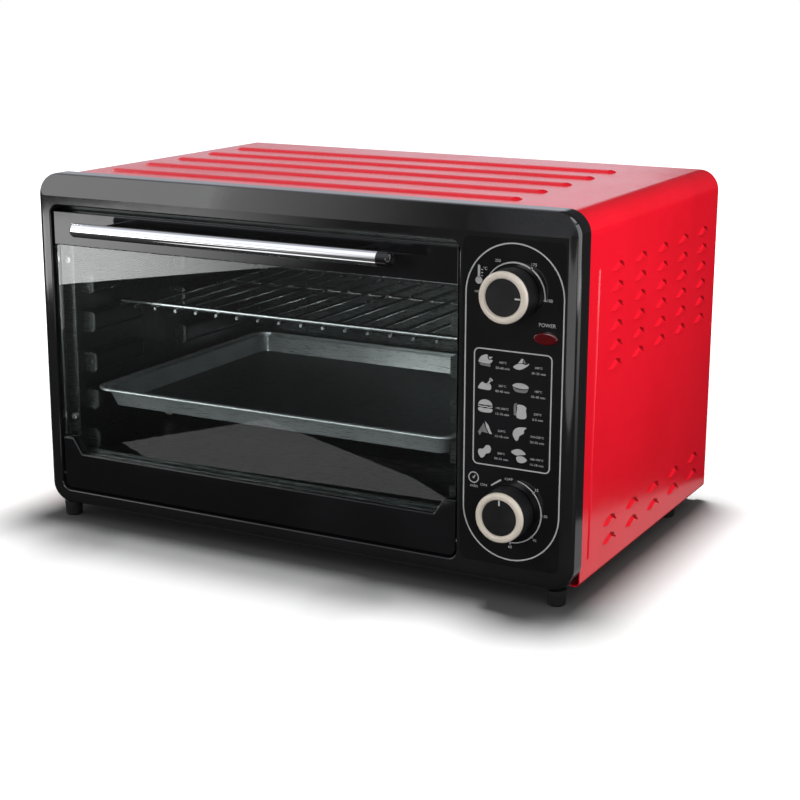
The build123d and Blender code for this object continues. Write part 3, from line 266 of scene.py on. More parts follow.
def make_grain():
    """The rolling grain of sheet metal: streaks along one direction."""
    tree, given, out = new_group(
        "rolled_grain",
        [("Stretch", "Vector", (8.0, 900.0, 900.0)), ("Low", "Float", 0.2), ("High", "Float", 0.4)],
        [("Height", "Float"), ("Roughness", "Float")],
    )
    scaled = place(
        tree,
        "ShaderNodeVectorMath",
        {0: object_place(tree), 1: given["Stretch"]},
        operation="MULTIPLY",
    ).outputs[0]
    streak = noise(tree, scaled, 1.0, detail=3.0, rough=0.65)
    tree.links.new(streak, out["Height"])
    tree.links.new(
        blend_value(tree, spread(tree, streak, 0.3, 0.7), given["Low"], given["High"]), out["Roughness"]
    )
    return tree


RIPPLE, HANDLING, DRIFT, GRAIN = make_ripple(), make_handling(), make_drift(), make_grain()


# Finishes


def start_finish(name, colour, roughness, metallic=0.0, **constants):
    """A new material with its plain values on the shader's own sockets."""
    made = bpy.data.materials.new(name)
    made.use_nodes = True
    shader = made.node_tree.nodes["Principled BSDF"]
    shader.inputs["Base Color"].default_value = (*colour, 1)
    shader.inputs["Roughness"].default_value = roughness
    shader.inputs["Metallic"].default_value = metallic
    for label, value in constants.items():
        shader.inputs[label.replace("_", " ")].default_value = value
    return made, made.node_tree, shader


def effect(tree, group, inputs):
    """A shared effect placed in a material: its outputs."""
    return place(tree, "ShaderNodeGroup", inputs, node_tree=group).outputs


def add_tones(tree, shader, colour, other, scale, **limits):
    """A base colour that drifts between two near tones."""
    tone = effect(tree, DRIFT, {"Main": (*colour, 1), "Other": (*other, 1), "Scale": scale} | limits)
    tree.links.new(tone["Color"], shader.inputs["Base Color"])


def add_marks(tree, shader, clean, handled, scale):
    """Roughness that drifts between wiped and handled places."""
    marks = effect(tree, HANDLING, {"Clean": clean, "Handled": handled, "Scale": scale})
    tree.links.new(marks["Roughness"], shader.inputs["Roughness"])


def raise_surface(tree, shader, height, depth_mm):
    """Bump from a height that changes over the surface, depth in millimetres."""
    bump = place(tree, "ShaderNodeBump", {"Height": height, "Strength": 1.0, "Distance": depth_mm * MM})
    tree.links.new(bump.outputs["Normal"], shader.inputs["Normal"])


def add_ripple(tree, shader, scale, fine_share, depth_mm):
    ripple = effect(tree, RIPPLE, {"Scale": scale, "Fine Share": fine_share})
    raise_surface(tree, shader, ripple["Height"], depth_mm)


def lacquer(name, colour, other, clean, handled, scale=220.0, depth=0.01, **constants):
    """Glossy lacquer or polished plastic: two near tones, handling marks and a faint ripple."""
    made, tree, shader = start_finish(name, colour, clean, **constants)
    add_tones(tree, shader, colour, other, scale=9.0)
    add_marks(tree, shader, clean, handled, scale=10.0)
    add_ripple(tree, shader, scale, fine_share=0.15, depth_mm=depth)
    return made


def moulded(name, colour, other, clean, handled, scale=1500.0, depth=0.02, **constants):
    """Moulded plastic, rubber or ceramic with a fine skin."""
    made, tree, shader = start_finish(name, colour, clean, **constants)
    add_tones(tree, shader, colour, other, scale=60.0)
    add_marks(tree, shader, clean, handled, scale=45.0)
    add_ripple(tree, shader, scale, fine_share=0.5, depth_mm=depth)
    return made


def plated(name, colour, other, clean, handled, depth=0.002):
    """Bright plating on tube and wire."""
    made, tree, shader = start_finish(name, colour, clean, metallic=1.0)
    add_tones(tree, shader, colour, other, scale=25.0, Low=0.5, High=0.8)
    add_marks(tree, shader, clean, handled, scale=22.0)
    add_ripple(tree, shader, scale=260.0, fine_share=0.2, depth_mm=depth)
    return made


def sheet(name, colour, other, low, high, stretch=(60.0, 3000.0, 3000.0), tone_scale=30.0):
    """Rolled sheet metal: two tones, streaked roughness and a fine grain."""
    made, tree, shader = start_finish(name, colour, low, metallic=1.0)
    add_tones(tree, shader, colour, other, tone_scale)
    grain = effect(tree, GRAIN, {"Stretch": stretch, "Low": low, "High": high})
    tree.links.new(grain["Roughness"], shader.inputs["Roughness"])
    raise_surface(tree, shader, grain["Height"], depth_mm=0.0008)
    return made


def make_zinc():
    """Galvanised sheet: crystals of zinc, each with its own tone and shine."""
    made, tree, shader = start_finish("zinc_sheet", (0.55, 0.56, 0.57), 0.4, metallic=1.0)
    where = object_place(tree)
    crystal = place(tree, "ShaderNodeTexVoronoi", {"Vector": where, "Scale": 110.0})
    shade = place(tree, "ShaderNodeSeparateColor", {"Color": crystal.outputs["Color"]}).outputs[0]
    tree.links.new(
        blend_colour(tree, shade, (0.46, 0.47, 0.48, 1), (0.66, 0.67, 0.68, 1)), shader.inputs["Base Color"]
    )
    tree.links.new(blend_value(tree, shade, 0.32, 0.5), shader.inputs["Roughness"])
    grain = effect(tree, GRAIN, {"Stretch": (700.0, 700.0, 20.0), "Low": 0.3, "High": 0.5})
    raise_surface(tree, shader, grain["Height"], depth_mm=0.004)
    return made


def make_glass():
    """Door glass, tempered and faintly green. Lamps shine through it."""
    made, tree, shader = start_finish(
        "door_glass_clear", (0.93, 0.97, 0.955), 0.0, Transmission_Weight=1.0, IOR=1.45
    )
    add_marks(tree, shader, clean=0.0, handled=0.012, scale=9.0)
    clear = place(tree, "ShaderNodeBsdfTransparent", {"Color": (0.9, 0.95, 0.93, 1)})
    lamp_ray = kinds_of_ray(tree)["Is Shadow Ray"]
    both = place(
        tree, "ShaderNodeMixShader", {0: lamp_ray, 1: shader.outputs[0], 2: clear.outputs[0]}
    )
    tree.links.new(both.outputs[0], tree.nodes["Material Output"].inputs["Surface"])
    return made


def make_wire_cover():
    """Silicone sleeving in two tones on the left of the control space, and in one on its right."""
    made, tree, shader = start_finish("wire_cover", (0.7, 0.7, 0.68), 0.45)
    pale, red, cream = (0.72, 0.72, 0.68, 1), (0.55, 0.1, 0.05, 1), (0.8, 0.78, 0.7, 1)
    tones = {"Main": pale, "Other": red, "Scale": 12.0, "Low": 0.45, "High": 0.55}
    on_right = spread(tree, object_axes(tree)[0], 0.2, 0.21)
    tree.links.new(
        blend_colour(tree, on_right, effect(tree, DRIFT, tones)["Color"], cream),
        shader.inputs["Base Color"],
    )
    add_ripple(tree, shader, scale=2500.0, fine_share=0.5, depth_mm=0.05)
    return made


def make_tray():
    """Pressed aluminium, darker on the upward faces of the pan's floor."""
    made = sheet("tray_aluminium", (0.46, 0.475, 0.48), (0.41, 0.425, 0.43), 0.26, 0.34)
    tree = made.node_tree
    shader = tree.nodes["Principled BSDF"]
    shader.inputs["Metallic"].default_value = 0.8
    metal = shader.inputs["Base Color"].links[0].from_socket
    pan_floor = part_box("baking_tray")[0][2]
    facing = tree.nodes.new("ShaderNodeTexCoord").outputs["Normal"]
    upward = place(tree, "ShaderNodeSeparateXYZ", {0: facing}).outputs[2]
    low = spread(tree, object_axes(tree)[2], pan_floor + 5 * MM, pan_floor + 2 * MM)
    pan_floor_mask = math_node(tree, "MULTIPLY", low, spread(tree, upward, 0.6, 0.95))
    dark_pan_floor = (0.07, 0.075, 0.077, 1)
    tree.links.new(blend_colour(tree, pan_floor_mask, metal, dark_pan_floor), shader.inputs["Base Color"])
    return made


BLACK_SHINE = {"IOR": 1.46}
BLACK, BLACK_OTHER = (0.006, 0.006, 0.0065), (0.009, 0.009, 0.01)
DARK, DARK_OTHER = (0.01, 0.01, 0.0105), (0.013, 0.013, 0.014)
RED, RED_OTHER = (0.87, 0.006, 0.022), (0.8, 0.005, 0.018)
FINISHES = {
    "bezel_black": lacquer("bezel_gloss_black", DARK, DARK_OTHER, 0.08, 0.13, **BLACK_SHINE),
    "panel_black": lacquer("panel_gloss_black", BLACK, BLACK_OTHER, 0.07, 0.12, **BLACK_SHINE),
    "door_black": lacquer("door_gloss_black", BLACK, BLACK_OTHER, 0.06, 0.11, **BLACK_SHINE),
    "shell_red": lacquer("shell_red_enamel", RED, RED_OTHER, 0.16, 0.24, scale=420.0, depth=0.012),
    "zinc_sheet": make_zinc(),
    "cavity_steel": sheet(
        "cavity_steel", (0.085, 0.092, 0.09), (0.066, 0.073, 0.071), 0.24, 0.32, tone_scale=12.0
    ),
    "screw_steel": plated("screw_steel", (0.6, 0.6, 0.6), (0.5, 0.5, 0.5), 0.25, 0.4),
    "heater_sheath": sheet("heater_sheath", (0.2, 0.19, 0.175), (0.12, 0.11, 0.1), 0.35, 0.55),
    "ceramic": moulded(
        "heater_ceramic", (0.82, 0.79, 0.72), (0.74, 0.7, 0.62), 0.5, 0.65, scale=900.0, depth=0.03
    ),
    "fan_metal": sheet(
        "fan_aluminium", (0.62, 0.63, 0.64), (0.54, 0.55, 0.56), 0.28, 0.42, stretch=(300.0, 300.0, 300.0)
    ),
    "motor_steel": sheet("motor_steel", (0.36, 0.36, 0.37), (0.28, 0.28, 0.29), 0.35, 0.5),
    "control_body": moulded("control_bakelite", (0.62, 0.58, 0.5), (0.52, 0.48, 0.4), 0.4, 0.55),
    "wire_cover": make_wire_cover(),
    "knob_black": moulded(
        "knob_black", (0.009, 0.009, 0.01), (0.012, 0.012, 0.013), 0.3, 0.4, Specular_IOR_Level=0.25
    ),
    "ring_ivory": moulded(
        "ring_ivory", (0.67, 0.6, 0.52), (0.62, 0.55, 0.46), 0.26, 0.36, scale=700.0, depth=0.008
    ),
    "pointer_white": moulded("pointer_white", (0.5, 0.5, 0.49), (0.44, 0.44, 0.43), 0.4, 0.5),
    "lamp_red": lacquer("lamp_red_lens", (0.09, 0.0, 0.002), (0.06, 0.0, 0.001), 0.08, 0.14, Coat_Weight=0.2),
    "gland_black": moulded("gland_black", (0.02, 0.02, 0.02), (0.03, 0.03, 0.03), 0.45, 0.6),
    "foot_rubber": moulded(
        "foot_rubber", (0.007, 0.007, 0.007), (0.011, 0.011, 0.011), 0.5, 0.65, Specular_IOR_Level=0.2
    ),
    "glass_clear": make_glass(),
    "handle_chrome": plated("handle_chrome", (0.9, 0.9, 0.91), (0.86, 0.86, 0.87), 0.04, 0.09),
    "rack_chrome": plated(
        "rack_chrome", (0.52, 0.53, 0.53), (0.45, 0.46, 0.46), 0.2, 0.28, depth=0.0005
    ),
    "tray_metal": make_tray(),
}
INK_SKIN = {"clean": 0.45, "handled": 0.55, "scale": 900.0, "depth": 0.01}
PRINT = moulded("panel_print", (0.42, 0.42, 0.42), (0.37, 0.37, 0.37), **INK_SKIN)
PRINT_SHADE = moulded("panel_print_shade", (0.16, 0.16, 0.16), (0.12, 0.12, 0.12), **INK_SKIN)
# A dark red for painted shade: marks on the louvres' rear slopes and beside them, where shade falls.
LOUVRE_SHADE_RED = lacquer(
    "louvre_painted_shade_red", (0.3, 0.0005, 0.004), (0.26, 0.0005, 0.003), 0.4, 0.5, Specular_IOR_Level=0.1
)


def dress_solids():
    """Every CAD node takes the finish of its record slot."""
    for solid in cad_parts.values():
        for slot in solid.material_slots:
            slot.material = FINISHES[slot.material.name.split(".")[0]]


# Print on the control plate


def circle_points(x, z, radius, start=0.0, end=360.0, steps=48, squash=1.0):
    """Points of an arc or ellipse. Degrees go anticlockwise from the right, as seen from the front."""
    points = []
    for i in range(steps + 1):
        angle = math.radians(start + (end - start) * i / steps)
        points.append((x + radius * math.cos(angle), z + radius * squash * math.sin(angle)))
    return points


def smooth_points(corners, per_side=6):
    """A closed curve through given points."""
    points, count = [], len(corners)
    for i in range(count):
        a, b, c, d = (Vector(corners[(i + k - 1) % count]) for k in range(4))
        for step in range(per_side):
            t = step / per_side
            bend = (2 * a - 5 * b + 4 * c - d) * t**2 + (3 * b - a - 3 * c + d) * t**3
            points.append(tuple(0.5 * (2 * b + (c - a) * t + bend)))
    return points


class Ink:
    """Flat printed shapes on the plate, gathered into one mesh."""

    def __init__(self):
        self.mesh = bmesh.new()

    def fill(self, outline, shade=False):
        """A printed patch inside an outline of (x, z) points in millimetres, full or half strength."""
        if (Vector(outline[0]) - Vector(outline[-1])).length < SAME_POINT:
            outline = outline[:-1]
        front = [self.mesh.verts.new((x * MM, (PLATE_FACE - INK) * MM, z * MM)) for x, z in outline]
        rear = [self.mesh.verts.new((x * MM, PLATE_FACE * MM, z * MM)) for x, z in outline]
        self.mesh.faces.new(front).material_index = int(shade)
        self.mesh.faces.new(rear[::-1])
        for i in range(len(outline)):
            j = (i + 1) % len(outline)
            self.mesh.faces.new((front[j], front[i], rear[i], rear[j]))

    def stroke(self, line, width, closed=False, tip=None):
        """A printed line along points, width in millimetres; tip is the width at its ends."""
        count = len(line)
        sides = [[], []]
        for i, point in enumerate(line):
            before = line[(i - 1) % count] if closed or i else line[0]
            after = line[(i + 1) % count] if closed or i < count - 1 else line[-1]
            along = (Vector(after) - Vector(before)).normalized()
            across = Vector((-along.y, along.x))
            share = 1.0 if tip is None else math.sin(math.pi * i / (count - 1))
            half = (width if tip is None else tip + (width - tip) * share) / 2
            for side, sign in ((0, 1), (1, -1)):
                sides[side].append(Vector(point) + across * half * sign)
        rings = [
            [
                self.mesh.verts.new((p.x * MM, y * MM, p.y * MM))
                for p, y in (
                    (sides[0][i], PLATE_FACE - INK),
                    (sides[1][i], PLATE_FACE - INK),
                    (sides[1][i], PLATE_FACE),
                    (sides[0][i], PLATE_FACE),
                )
            ]
            for i in range(count)
        ]
        for i in range(count if closed else count - 1):
            a, b = rings[i], rings[(i + 1) % count]
            for k in range(4):
                self.mesh.faces.new((a[k], b[k], b[(k + 1) % 4], a[(k + 1) % 4]))
        if not closed:
            self.mesh.faces.new(rings[0])
            self.mesh.faces.new(rings[-1][::-1])

    def figure(self, text, x, z, height, squeeze=1.0):
        """Plain figures or a short word, centred on a point."""
        data = bpy.data.curves.new("figure", "FONT")
        data.body = text
        data.size = height * TEXT_SIZE
        data.align_x, data.align_y = "CENTER", "CENTER"
        holder = bpy.data.objects.new("figure", data)
        flat = bpy.data.meshes.new_from_object(holder)
        start = len(self.mesh.verts)
        self.mesh.from_mesh(flat)
        self.mesh.verts.ensure_lookup_table()
        fresh = self.mesh.verts[start:]
        for vert in fresh:
            vert.co = Vector(
                ((x + vert.co.x * squeeze) * MM, (PLATE_FACE - INK) * MM, (z + vert.co.y) * MM)
            )
        faces = [f for f in self.mesh.faces if f.verts[0] in set(fresh)]
        made = bmesh.ops.extrude_face_region(self.mesh, geom=faces)["geom"]
        for item in made:
            if isinstance(item, bmesh.types.BMVert):
                item.co.y = PLATE_FACE * MM
        bpy.data.meshes.remove(flat)
        bpy.data.objects.remove(holder)
        bpy.data.curves.remove(data)

    def finish(self, name):
        """Makes the gathered shapes one piece on the casing."""
        bmesh.ops.recalc_face_normals(self.mesh, faces=self.mesh.faces)
        data = bpy.data.meshes.new(name)
        self.mesh.to_mesh(data)
        self.mesh.free()
        made = add_object(name, data)
        data.materials.append(PRINT)
        data.materials.append(PRINT_SHADE)
        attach(made, "casing")


def draw_panel_lines():
    """The capsule line round both dials and the rounded box round the food pictures."""
    ink = Ink()
    radius, width = 41.0, 1.1
    upper_half = circle_points(LINE_X, LINE_TOP, radius, 0, 180)
    lower_half = circle_points(LINE_X, LINE_FOOT, radius, 180, 360)
    ink.stroke(upper_half + lower_half, width, closed=True)
    left, right, low, high = 171.5, 236.6, 110.4, 203.3
    bend, width = 4.0, 1.0
    centres = ((right - bend, high - bend), (left + bend, high - bend))
    centres += ((left + bend, low + bend), (right - bend, low + bend))
    box = []
    for quarter, (x, z) in enumerate(centres):
        box += circle_points(x, z, bend, 90 * quarter, 90 * quarter + 90, 8)
    ink.stroke(box, width, closed=True)
    ink.finish("print_panel_lines")


def dial_point(dial, clock_degrees, radius):
    """A point round a dial's centre; degrees clockwise from 12 o'clock."""
    angle = math.radians(90 - clock_degrees)
    return dial[0] + radius * math.cos(angle), dial[1] + radius * math.sin(angle)


def draw_tick(ink, dial, degrees, start, end, width):
    """A short line across a dial's arc."""
    ink.stroke([dial_point(dial, degrees, reach) for reach in (start, end)], width)


def draw_temperature_scale():
    """The temperature arc with its figures, and a small thermometer."""
    ink = Ink()
    arc, figures = 25.4, 29.4
    ink.stroke(circle_points(*TEMPERATURE_DIAL, arc, 152, -4), 1.3, tip=0.7)
    for degrees, text in ((-29, "250"), (32, "175"), (93, "100")):
        ink.figure(text, *dial_point(TEMPERATURE_DIAL, degrees, figures), 2.3, 1.05)
    draw_tick(ink, TEMPERATURE_DIAL, 32, 24.6, 27.0, 1.4)
    draw_tick(ink, TEMPERATURE_DIAL, 94, 24.2, 27.0, 0.8)
    ink.figure("OFF", 173.2, 247.4, 1.9)
    x, z = 174.3, 256.4
    bulb = 2.9
    ink.fill(circle_points(x, z, bulb, steps=20))
    stem = [(-1.0, 2.0), (1.0, 2.0), (1.0, 11.0), (0.5, 11.9), (-0.5, 11.9), (-1.0, 11.0)]
    ink.fill([(x + u, z + v) for u, v in stem])
    for step in range(3):
        height = z + 3.6 + 2.4 * step
        ink.stroke([(x + 1.9, height), (x + 3.4, height)], 0.6)
    ink.figure("°C", x + 5.2, z + 9.4, 2.4)
    ink.finish("print_temperature_scale")


def draw_timer_scale():
    """The timer arc with ticks and figures, and a small clock."""
    ink = Ink()
    arc, figures = 25.9, 29.6
    ink.stroke(circle_points(*TIMER_DIAL, arc, 78, -88, 60), 1.1, tip=0.7)
    ink.stroke([dial_point(TIMER_DIAL, -43, 25.4), dial_point(TIMER_DIAL, -20, arc)], 1.3)
    for degrees, text in ((47, "15"), (90, "30"), (135, "45"), (180, "60")):
        draw_tick(ink, TIMER_DIAL, degrees, 25.0, 27.4, 0.8)
        ink.figure(text, *dial_point(TIMER_DIAL, degrees, figures), 2.2, 1.05)
    ink.figure("OFF", *dial_point(TIMER_DIAL, -5, 25.7), 1.9, 1.5)
    ink.figure("ON", 181.0, 93.4, 2.0, 1.4)
    x, z = 172.2, 98.5
    rim, hub = 4.2, 0.9
    ink.stroke(circle_points(x, z, rim, steps=28)[:-1], 0.8, closed=True)
    ink.stroke([(x, z), (x + 1.4, z + 1.9)], 0.9)
    ink.fill(circle_points(x, z, hub, steps=12))
    ink.figure("min", 172.6, 91.6, 2.6, 1.25)
    ink.finish("print_timer_scale")


def draw_lamp_sign():
    """The word over the lamp."""
    ink = Ink()
    ink.figure("POWER", LAMP_X + 0.8, LAMP_Z + 10.0, 2.9)
    ink.finish("print_lamp_sign")


# Food pictures. Each draws itself round the point that put moves it to.


def roast(ink, put):
    back = [(-6.2, -1.4), (-5.4, 1.6), (-3.0, 3.9), (0.2, 4.9), (1.6, 4.2)]
    breast = [(1.2, 2.6), (3.6, -0.6), (3.4, -2.0), (-1.5, -2.2)]
    ink.fill(put(smooth_points(back + breast)))
    ink.fill(put([(1.9, 3.2), (5.9, 3.6), (3.4, 1.4)]))
    ink.fill(put(smooth_points([(2.6, 0.9), (5.6, 0.6), (4.2, -1.4), (3.8, -1.0)], 4)))
    ink.fill(put([(-5.8, -2.4), (3.9, -2.8), (3.6, -4.6), (-4.6, -3.9)]), shade=True)


def fish(ink, put):
    body = [(-6.4, -2.6), (-3.4, 0.0), (0.6, 0.8), (4.0, 0.2), (6.9, 1.4), (4.4, -1.4), (-1.4, -4.2)]
    ink.fill(put(smooth_points(body)))
    ink.fill(put([(-2.4, 0.9), (0.6, 4.9), (2.0, 4.4), (1.2, 1.4)]))
    ink.fill(put([(2.5, 4.0), (4.2, 1.2), (1.8, 1.5)]), shade=True)


def drumstick(ink, put):
    leg = [(-6.2, -4.0), (-5.0, -0.6), (-2.6, 1.4), (-1.2, 0.4), (1.4, 0.4), (4.4, -0.4)]
    ink.fill(put(smooth_points(leg + [(4.2, -4.2), (-1.0, -4.6)])))
    ink.stroke(put([(1.4, -0.4), (4.4, 3.6)]), 1.5)
    ink.fill(put(smooth_points([(3.2, 3.4), (3.8, 5.2), (5.0, 4.6), (6.2, 3.6), (5.2, 2.6)], 4)))


def pie(ink, put):
    top = [(-6.8, 1.4), (-4.0, 3.4), (0.4, 3.9), (4.6, 3.0), (6.8, 0.8), (3.4, -0.4), (-2.8, -0.2)]
    ink.fill(put(smooth_points(top)))
    dish = [(-6.4, 0.2), (-2.8, -1.1), (3.2, -1.2), (6.3, -0.2), (4.4, -3.2), (-3.8, -3.2)]
    ink.fill(put(smooth_points(dish, 5)), shade=True)


def burger(ink, put):
    ink.fill(put([(-6.0, 1.2)] + circle_points(0, 1.2, 6.0, 180, 0, 18, 0.72) + [(6.0, 1.2)]))
    ink.stroke(put([(-6.2, 0.2), (-3.0, -0.5), (0.0, 0.1), (3.0, -0.6), (6.2, 0.2)]), 0.9)
    base = [(-5.9, -1.6), (0.0, -1.5), (5.9, -1.6), (5.2, -4.2), (0.0, -4.9), (-5.2, -4.2)]
    ink.fill(put(smooth_points(base, 5)))


def toast(ink, put):
    near = [(-2.6, -5.6), (-2.4, 2.4), (-3.2, 3.4), (-1.6, 4.8), (2.8, 4.6)]
    far = [(-5.2, -3.6), (-5.4, 3.4), (-4.6, 5.4), (-2.4, 5.8), (-4.0, 3.6), (-3.4, 2.2), (-3.4, -4.4)]
    ink.fill(put(smooth_points(near + [(5.4, 2.6), (4.8, 1.2), (5.0, -5.4)], 5)))
    ink.fill(put(far), shade=True)


def slice_of_pizza(ink, put):
    ink.fill(put([(0.0, 6.2), (2.8, 3.4), (6.0, -3.6), (3.8, -3.6), (1.0, 1.4)]))
    near = [(-1.0, 5.0), (0.2, 1.4), (2.6, -3.4), (-2.6, -2.6), (-4.4, -5.8), (-6.0, -3.0)]
    ink.fill(put(near), shade=True)


def wing(ink, put):
    outline = [(-3.6, -5.6), (-5.8, -1.2), (-4.4, 2.6), (-0.6, 4.8), (5.6, 5.2), (3.6, 2.8)]
    ink.fill(put(smooth_points(outline + [(3.4, 0.4), (0.0, -2.0), (-1.4, -5.6)])))


def potatoes(ink, put):
    outline = [(-5.6, -1.6), (-4.8, 1.2), (-1.4, 1.8), (1.2, 4.8), (4.0, 5.0), (5.4, 2.6)]
    ink.fill(put(smooth_points(outline + [(4.4, -0.8), (1.2, -2.0), (-0.4, -4.6), (-3.2, -5.6)])))


def buns(ink, put):
    upper = [(-6.8, 2.6), (-3.2, 5.0), (1.4, 5.2), (5.4, 2.2), (1.6, 0.9), (-2.8, 0.3)]
    lower = [(-2.2, -1.0), (1.4, 0.0), (4.4, -0.6), (6.6, -3.0), (2.6, -5.4), (-1.4, -4.6)]
    for bun in (upper, lower):
        ink.fill(put(smooth_points(bun)))


# A row of the box: its middle's height, then two pictures, each with its temperature and its time.
PICTURE_ROWS = (
    (193.9, (roast, "180°C", "50-60 min"), (fish, "200°C", "20-25 min")),
    (175.4, (drumstick, "200°C", "40-45 min"), (pie, "180°C", "35-40 min")),
    (157.4, (burger, "190-200°C", "12-15 min"), (toast, "220°C", "3-5 min")),
    (139.3, (slice_of_pizza, "230°C", "12-15 min"), (wing, "210-220°C", "20-25 min")),
    (121.2, (potatoes, "200°C", "50-55 min"), (buns, "180-190°C", "15-18 min")),
)

# A column of the box: its pictures' place, its text's place, and how far the text starts below the middle.
PICTURE_COLUMNS = ((181.4, 195.7, 0.3), (211.0, 225.8, 1.2))
TEXT_LINE_DROP = 4.4


def mover(x, z):
    """A function that moves a picture's points to its place."""
    return lambda points: [(x + u, z + v) for u, v in points]


def draw_food_pictures():
    """Ten small food pictures with a temperature and a time beside each."""
    ink = Ink()
    for middle, *cells in PICTURE_ROWS:
        for (x, text_x, drop), (picture, degrees, minutes) in zip(PICTURE_COLUMNS, cells):
            picture(ink, mover(x, middle))
            ink.figure(degrees, text_x, middle - drop, 1.6, 1.15)
            ink.figure(minutes, text_x, middle - drop - TEXT_LINE_DROP, 1.75, 1.2)
    ink.finish("print_food_pictures")


def print_panel():
    draw_panel_lines()
    draw_temperature_scale()
    draw_timer_scale()
    draw_lamp_sign()
    draw_food_pictures()


# Louvres


def draw_louvre_painted_shade():
    """Painted shade: a dark red mark on every louvre's rear slope, and on the flat side above it, where shade
    falls.
    """
    slope = math.atan2(LOUVRE_DROP, LOUVRE_RUN)
    corners, faces = [], []
    for side in (-1, 1):
        for y in LOUVRE_YS:
            for apex in LOUVRE_APEXES:
                first = len(corners)
                for outline in LOUVRE_SHADE_OUTLINES:
                    faces.append([first + k for k in outline[::side]])
                for run, drop in LOUVRE_SHADE_POINTS:
                    x = SIDE_FACE + max(drop, 0.0) * LOUVRE_PROUD / LOUVRE_DRAFT + LOUVRE_SHADE_LIFT
                    along = y + run * math.cos(slope) - drop * math.sin(slope)
                    up = apex - run * math.sin(slope) - drop * math.cos(slope)
                    corners.append((side * x * MM, along * MM, up * MM))
    data = bpy.data.meshes.new("painted_louvre_shade")
    data.from_pydata(corners, [], faces)
    data.materials.append(LOUVRE_SHADE_RED)
    made = add_object("painted_louvre_shade", data)
    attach(made, "casing")


# Studio


def add_stage_piece(name, corners, material):
    """One flat face with one material, which isn't part of the oven."""
    data = bpy.data.meshes.new(name)
    data.from_pydata(corners, [], [range(len(corners))])
    data.materials.append(material)
    made = add_object(name, data)
    return made


def make_floor():
    """A large floor: grey under its lamp near the oven, and white to the camera farther away."""
    made, tree, shader = start_finish("floor_white", (FLOOR_GREY,) * 3, 1.0, Specular_IOR_Level=0.0)
    ray = kinds_of_ray(tree)
    forward_back = object_axes(tree)[1]
    reach = place(
        tree, "ShaderNodeVectorMath", {0: object_place(tree)}, operation="LENGTH"
    ).outputs["Value"]

    # Matt surfaces see a fifth of its grey, so it lights them little, and shiny ones see none.
    matt = math_node(tree, "MULTIPLY", ray["Is Diffuse Ray"], 0.8)
    hidden = math_node(tree, "MAXIMUM", matt, ray["Is Glossy Ray"])
    grey = blend_value(tree, hidden, FLOOR_GREY, 0.0)
    tree.links.new(
        place(tree, "ShaderNodeCombineColor", {0: grey, 1: grey, 2: grey}).outputs[0],
        shader.inputs["Base Color"],
    )

    # Its own light: a dim one for shiny surfaces, darkest near the oven and behind it as a painted shadow,
    # and white beyond the shadow for the camera.
    ahead = math_node(tree, "MULTIPLY", forward_back, -1.0)
    front = blend_value(tree, spread(tree, ahead, *NEAR_TO_AHEAD), FLOOR_NEAR, FLOOR_AHEAD)
    glossy = blend_value(tree, spread(tree, forward_back, *FRONT_TO_BEHIND), front, FLOOR_BEHIND)
    seen = math_node(tree, "MAXIMUM", ray["Is Camera Ray"], ray["Is Transmission Ray"])
    away = math_node(tree, "MULTIPLY", spread(tree, reach, *SHADOW_TO_WHITE), seen)
    shader.inputs["Emission Color"].default_value = WHITE
    tree.links.new(blend_value(tree, ray["Is Glossy Ray"], away, glossy), shader.inputs["Emission Strength"])
    far = FLOOR_REACH
    corners = [(-far, -far, 0), (far, -far, 0), (far, far, 0), (-far, far, 0)]
    return add_stage_piece("studio_floor", corners, made)


def add_card(name, corners, strength, fade=None, through_glass=False):
    """A glowing sheet that only shiny finishes show, and clear glass too where through_glass says so.

    Fade is the X where it starts to dim, and the X where it is dark.
    """
    made, tree, shader = start_finish(name + "_glow", (0.0, 0.0, 0.0), 1.0, Specular_IOR_Level=0.0)
    shader.inputs["Emission Color"].default_value = WHITE
    shader.inputs["Emission Strength"].default_value = strength
    if fade:
        faded = blend_value(tree, spread(tree, object_axes(tree)[0], *fade), strength, 0.0)
        tree.links.new(faded, shader.inputs["Emission Strength"])
    card = add_stage_piece(name, corners, made)
    card.visible_camera = card.visible_diffuse = card.visible_shadow = False
    card.visible_transmission = through_glass


def lying(*corners):
    """A card's corners just above the floor."""
    return [(x, y, CARD_HEIGHT) for x, y in corners]


def standing(start, end, foot, head):
    """The corners of an upright card over a line on the floor."""
    return [(*start, foot), (*end, foot), (*end, head), (*start, head)]


def add_cards():
    add_card(
        "card_in_front",
        lying((-0.345, -0.362), (-0.262, -0.516), (-0.015, -0.396), (0.054, -0.345), (-0.29, -0.33)),
        1.25,
    )
    add_card(
        "card_at_right",
        lying((0.398, -0.114), (1.727, 0.12), (1.508, 0.677), (1.254, 0.975), (0.33, -0.051)),
        1.9,
        fade=(1.5, 0.3),
    )
    add_card("card_beside_casing", lying((0.262, -0.125), (0.347, 0.03), (0.275, 0.25), (0.262, 0.21)), 0.5)
    add_card(
        "card_at_left",
        standing((-1.379, -0.492), (-0.628, -1.553), 0.0, 0.12),
        6.1,
        fade=(-0.986, -0.675),
        through_glass=True,
    )
    add_card(
        "card_beyond_front_lamp",
        standing((-1.41, -1.94), (-0.8, -2.1), 0.47, 1.23),
        3.0,
        fade=(-1.5, -0.8),
        through_glass=True,
    )


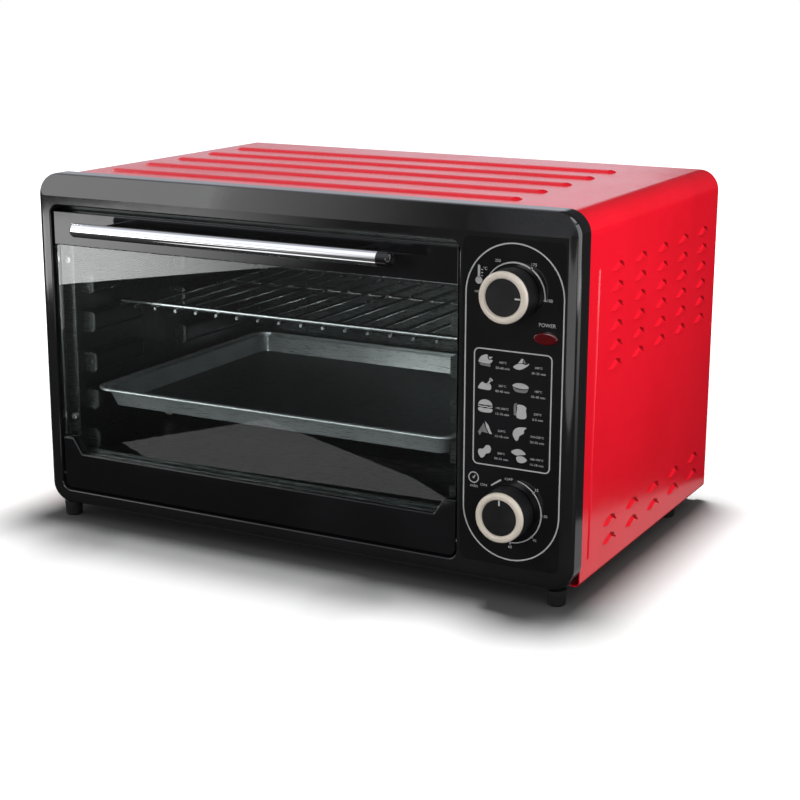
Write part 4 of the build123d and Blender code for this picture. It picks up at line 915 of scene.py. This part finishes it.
def make_world():
    """White to the camera, an even light on the object, and a room for shiny finishes to show."""
    world = bpy.data.worlds.new("studio_world")
    bpy.context.scene.world = world
    world.use_nodes = True
    tree = world.node_tree
    background = tree.nodes["Background"]
    ray = kinds_of_ray(tree)
    toward = tree.nodes.new("ShaderNodeTexCoord").outputs["Generated"]
    across, along, height = place(tree, "ShaderNodeSeparateXYZ", {0: toward}).outputs
    front = blend_value(tree, spread(tree, height, *FRONT_LOW_TO_HIGH), FRONT_LOW, FRONT_HIGH)
    backdrop = blend_value(tree, spread(tree, across, *LEFT_TO_MIDDLE), BACKDROP_LEFT, BACKDROP_MIDDLE)
    backdrop = blend_value(tree, spread(tree, across, *MIDDLE_TO_RIGHT), backdrop, BACKDROP_RIGHT)
    upper = blend_value(tree, spread(tree, across, *UPPER_LEFT_TO_RIGHT), UPPER_LEFT, UPPER_RIGHT)
    above = blend_value(tree, spread(tree, height, *BACKDROP_TO_UPPER), backdrop, upper)
    rear = blend_value(tree, spread(tree, height, *UPPER_TO_CEILING), above, CEILING)
    room = blend_value(tree, spread(tree, along, *FRONT_TO_REAR), front, rear)
    shown = blend_value(tree, ray["Is Glossy Ray"], EVEN_LIGHT, room)
    tree.links.new(blend_colour(tree, ray["Is Glossy Ray"], WHITE, ROOM_TINT), background.inputs["Color"])
    seen = math_node(tree, "MAXIMUM", ray["Is Camera Ray"], ray["Is Transmission Ray"])
    tree.links.new(blend_value(tree, seen, shown, 1.0), background.inputs["Strength"])


def add_lamp(name, where, aim, size, watts, floor):
    """A soft box that the camera doesn't see. It lights the floor alone, or all but the floor."""
    on_floor = name == FLOOR_LAMP
    data = bpy.data.lights.new(name, "AREA")
    data.shape = "ELLIPSE" if on_floor else "RECTANGLE"
    data.size, data.size_y = size
    data.energy = watts
    lamp = add_object(name, data)
    lamp.location = where
    lamp.rotation_mode = "QUATERNION"
    lamp.rotation_quaternion = (Vector(aim) - Vector(where)).to_track_quat("-Z", "Y")
    lamp.visible_camera = False
    lit = bpy.data.collections.new(name + "_lights")
    lit.objects.link(floor)
    lit.collection_objects[0].light_linking.link_state = "INCLUDE" if on_floor else "EXCLUDE"
    lamp.light_linking.receiver_collection = lit


def light_studio():
    floor = make_floor()
    make_world()
    add_cards()
    for name, facts in LAMPS.items():
        add_lamp(name, *facts, floor)


def set_camera():
    data = bpy.data.cameras.new("photo_camera")
    data.lens, data.sensor_width = CAMERA_LENS, SENSOR_WIDTH
    data.clip_start, data.clip_end = CLIP_NEAR, CLIP_FAR
    camera = add_object("photo_camera", data)
    camera.location = CAMERA_PLACE
    camera.rotation_mode = "QUATERNION"
    aim = (CAMERA_AIM - CAMERA_PLACE).to_track_quat("-Z", "Y")
    camera.rotation_quaternion = aim @ Quaternion((0, 0, 1), CAMERA_ROLL)
    bpy.context.scene.camera = camera


set_camera()
dress_solids()
print_panel()
draw_louvre_painted_shade()
light_studio()
bpy.context.scene.view_settings.view_transform = "Standard"
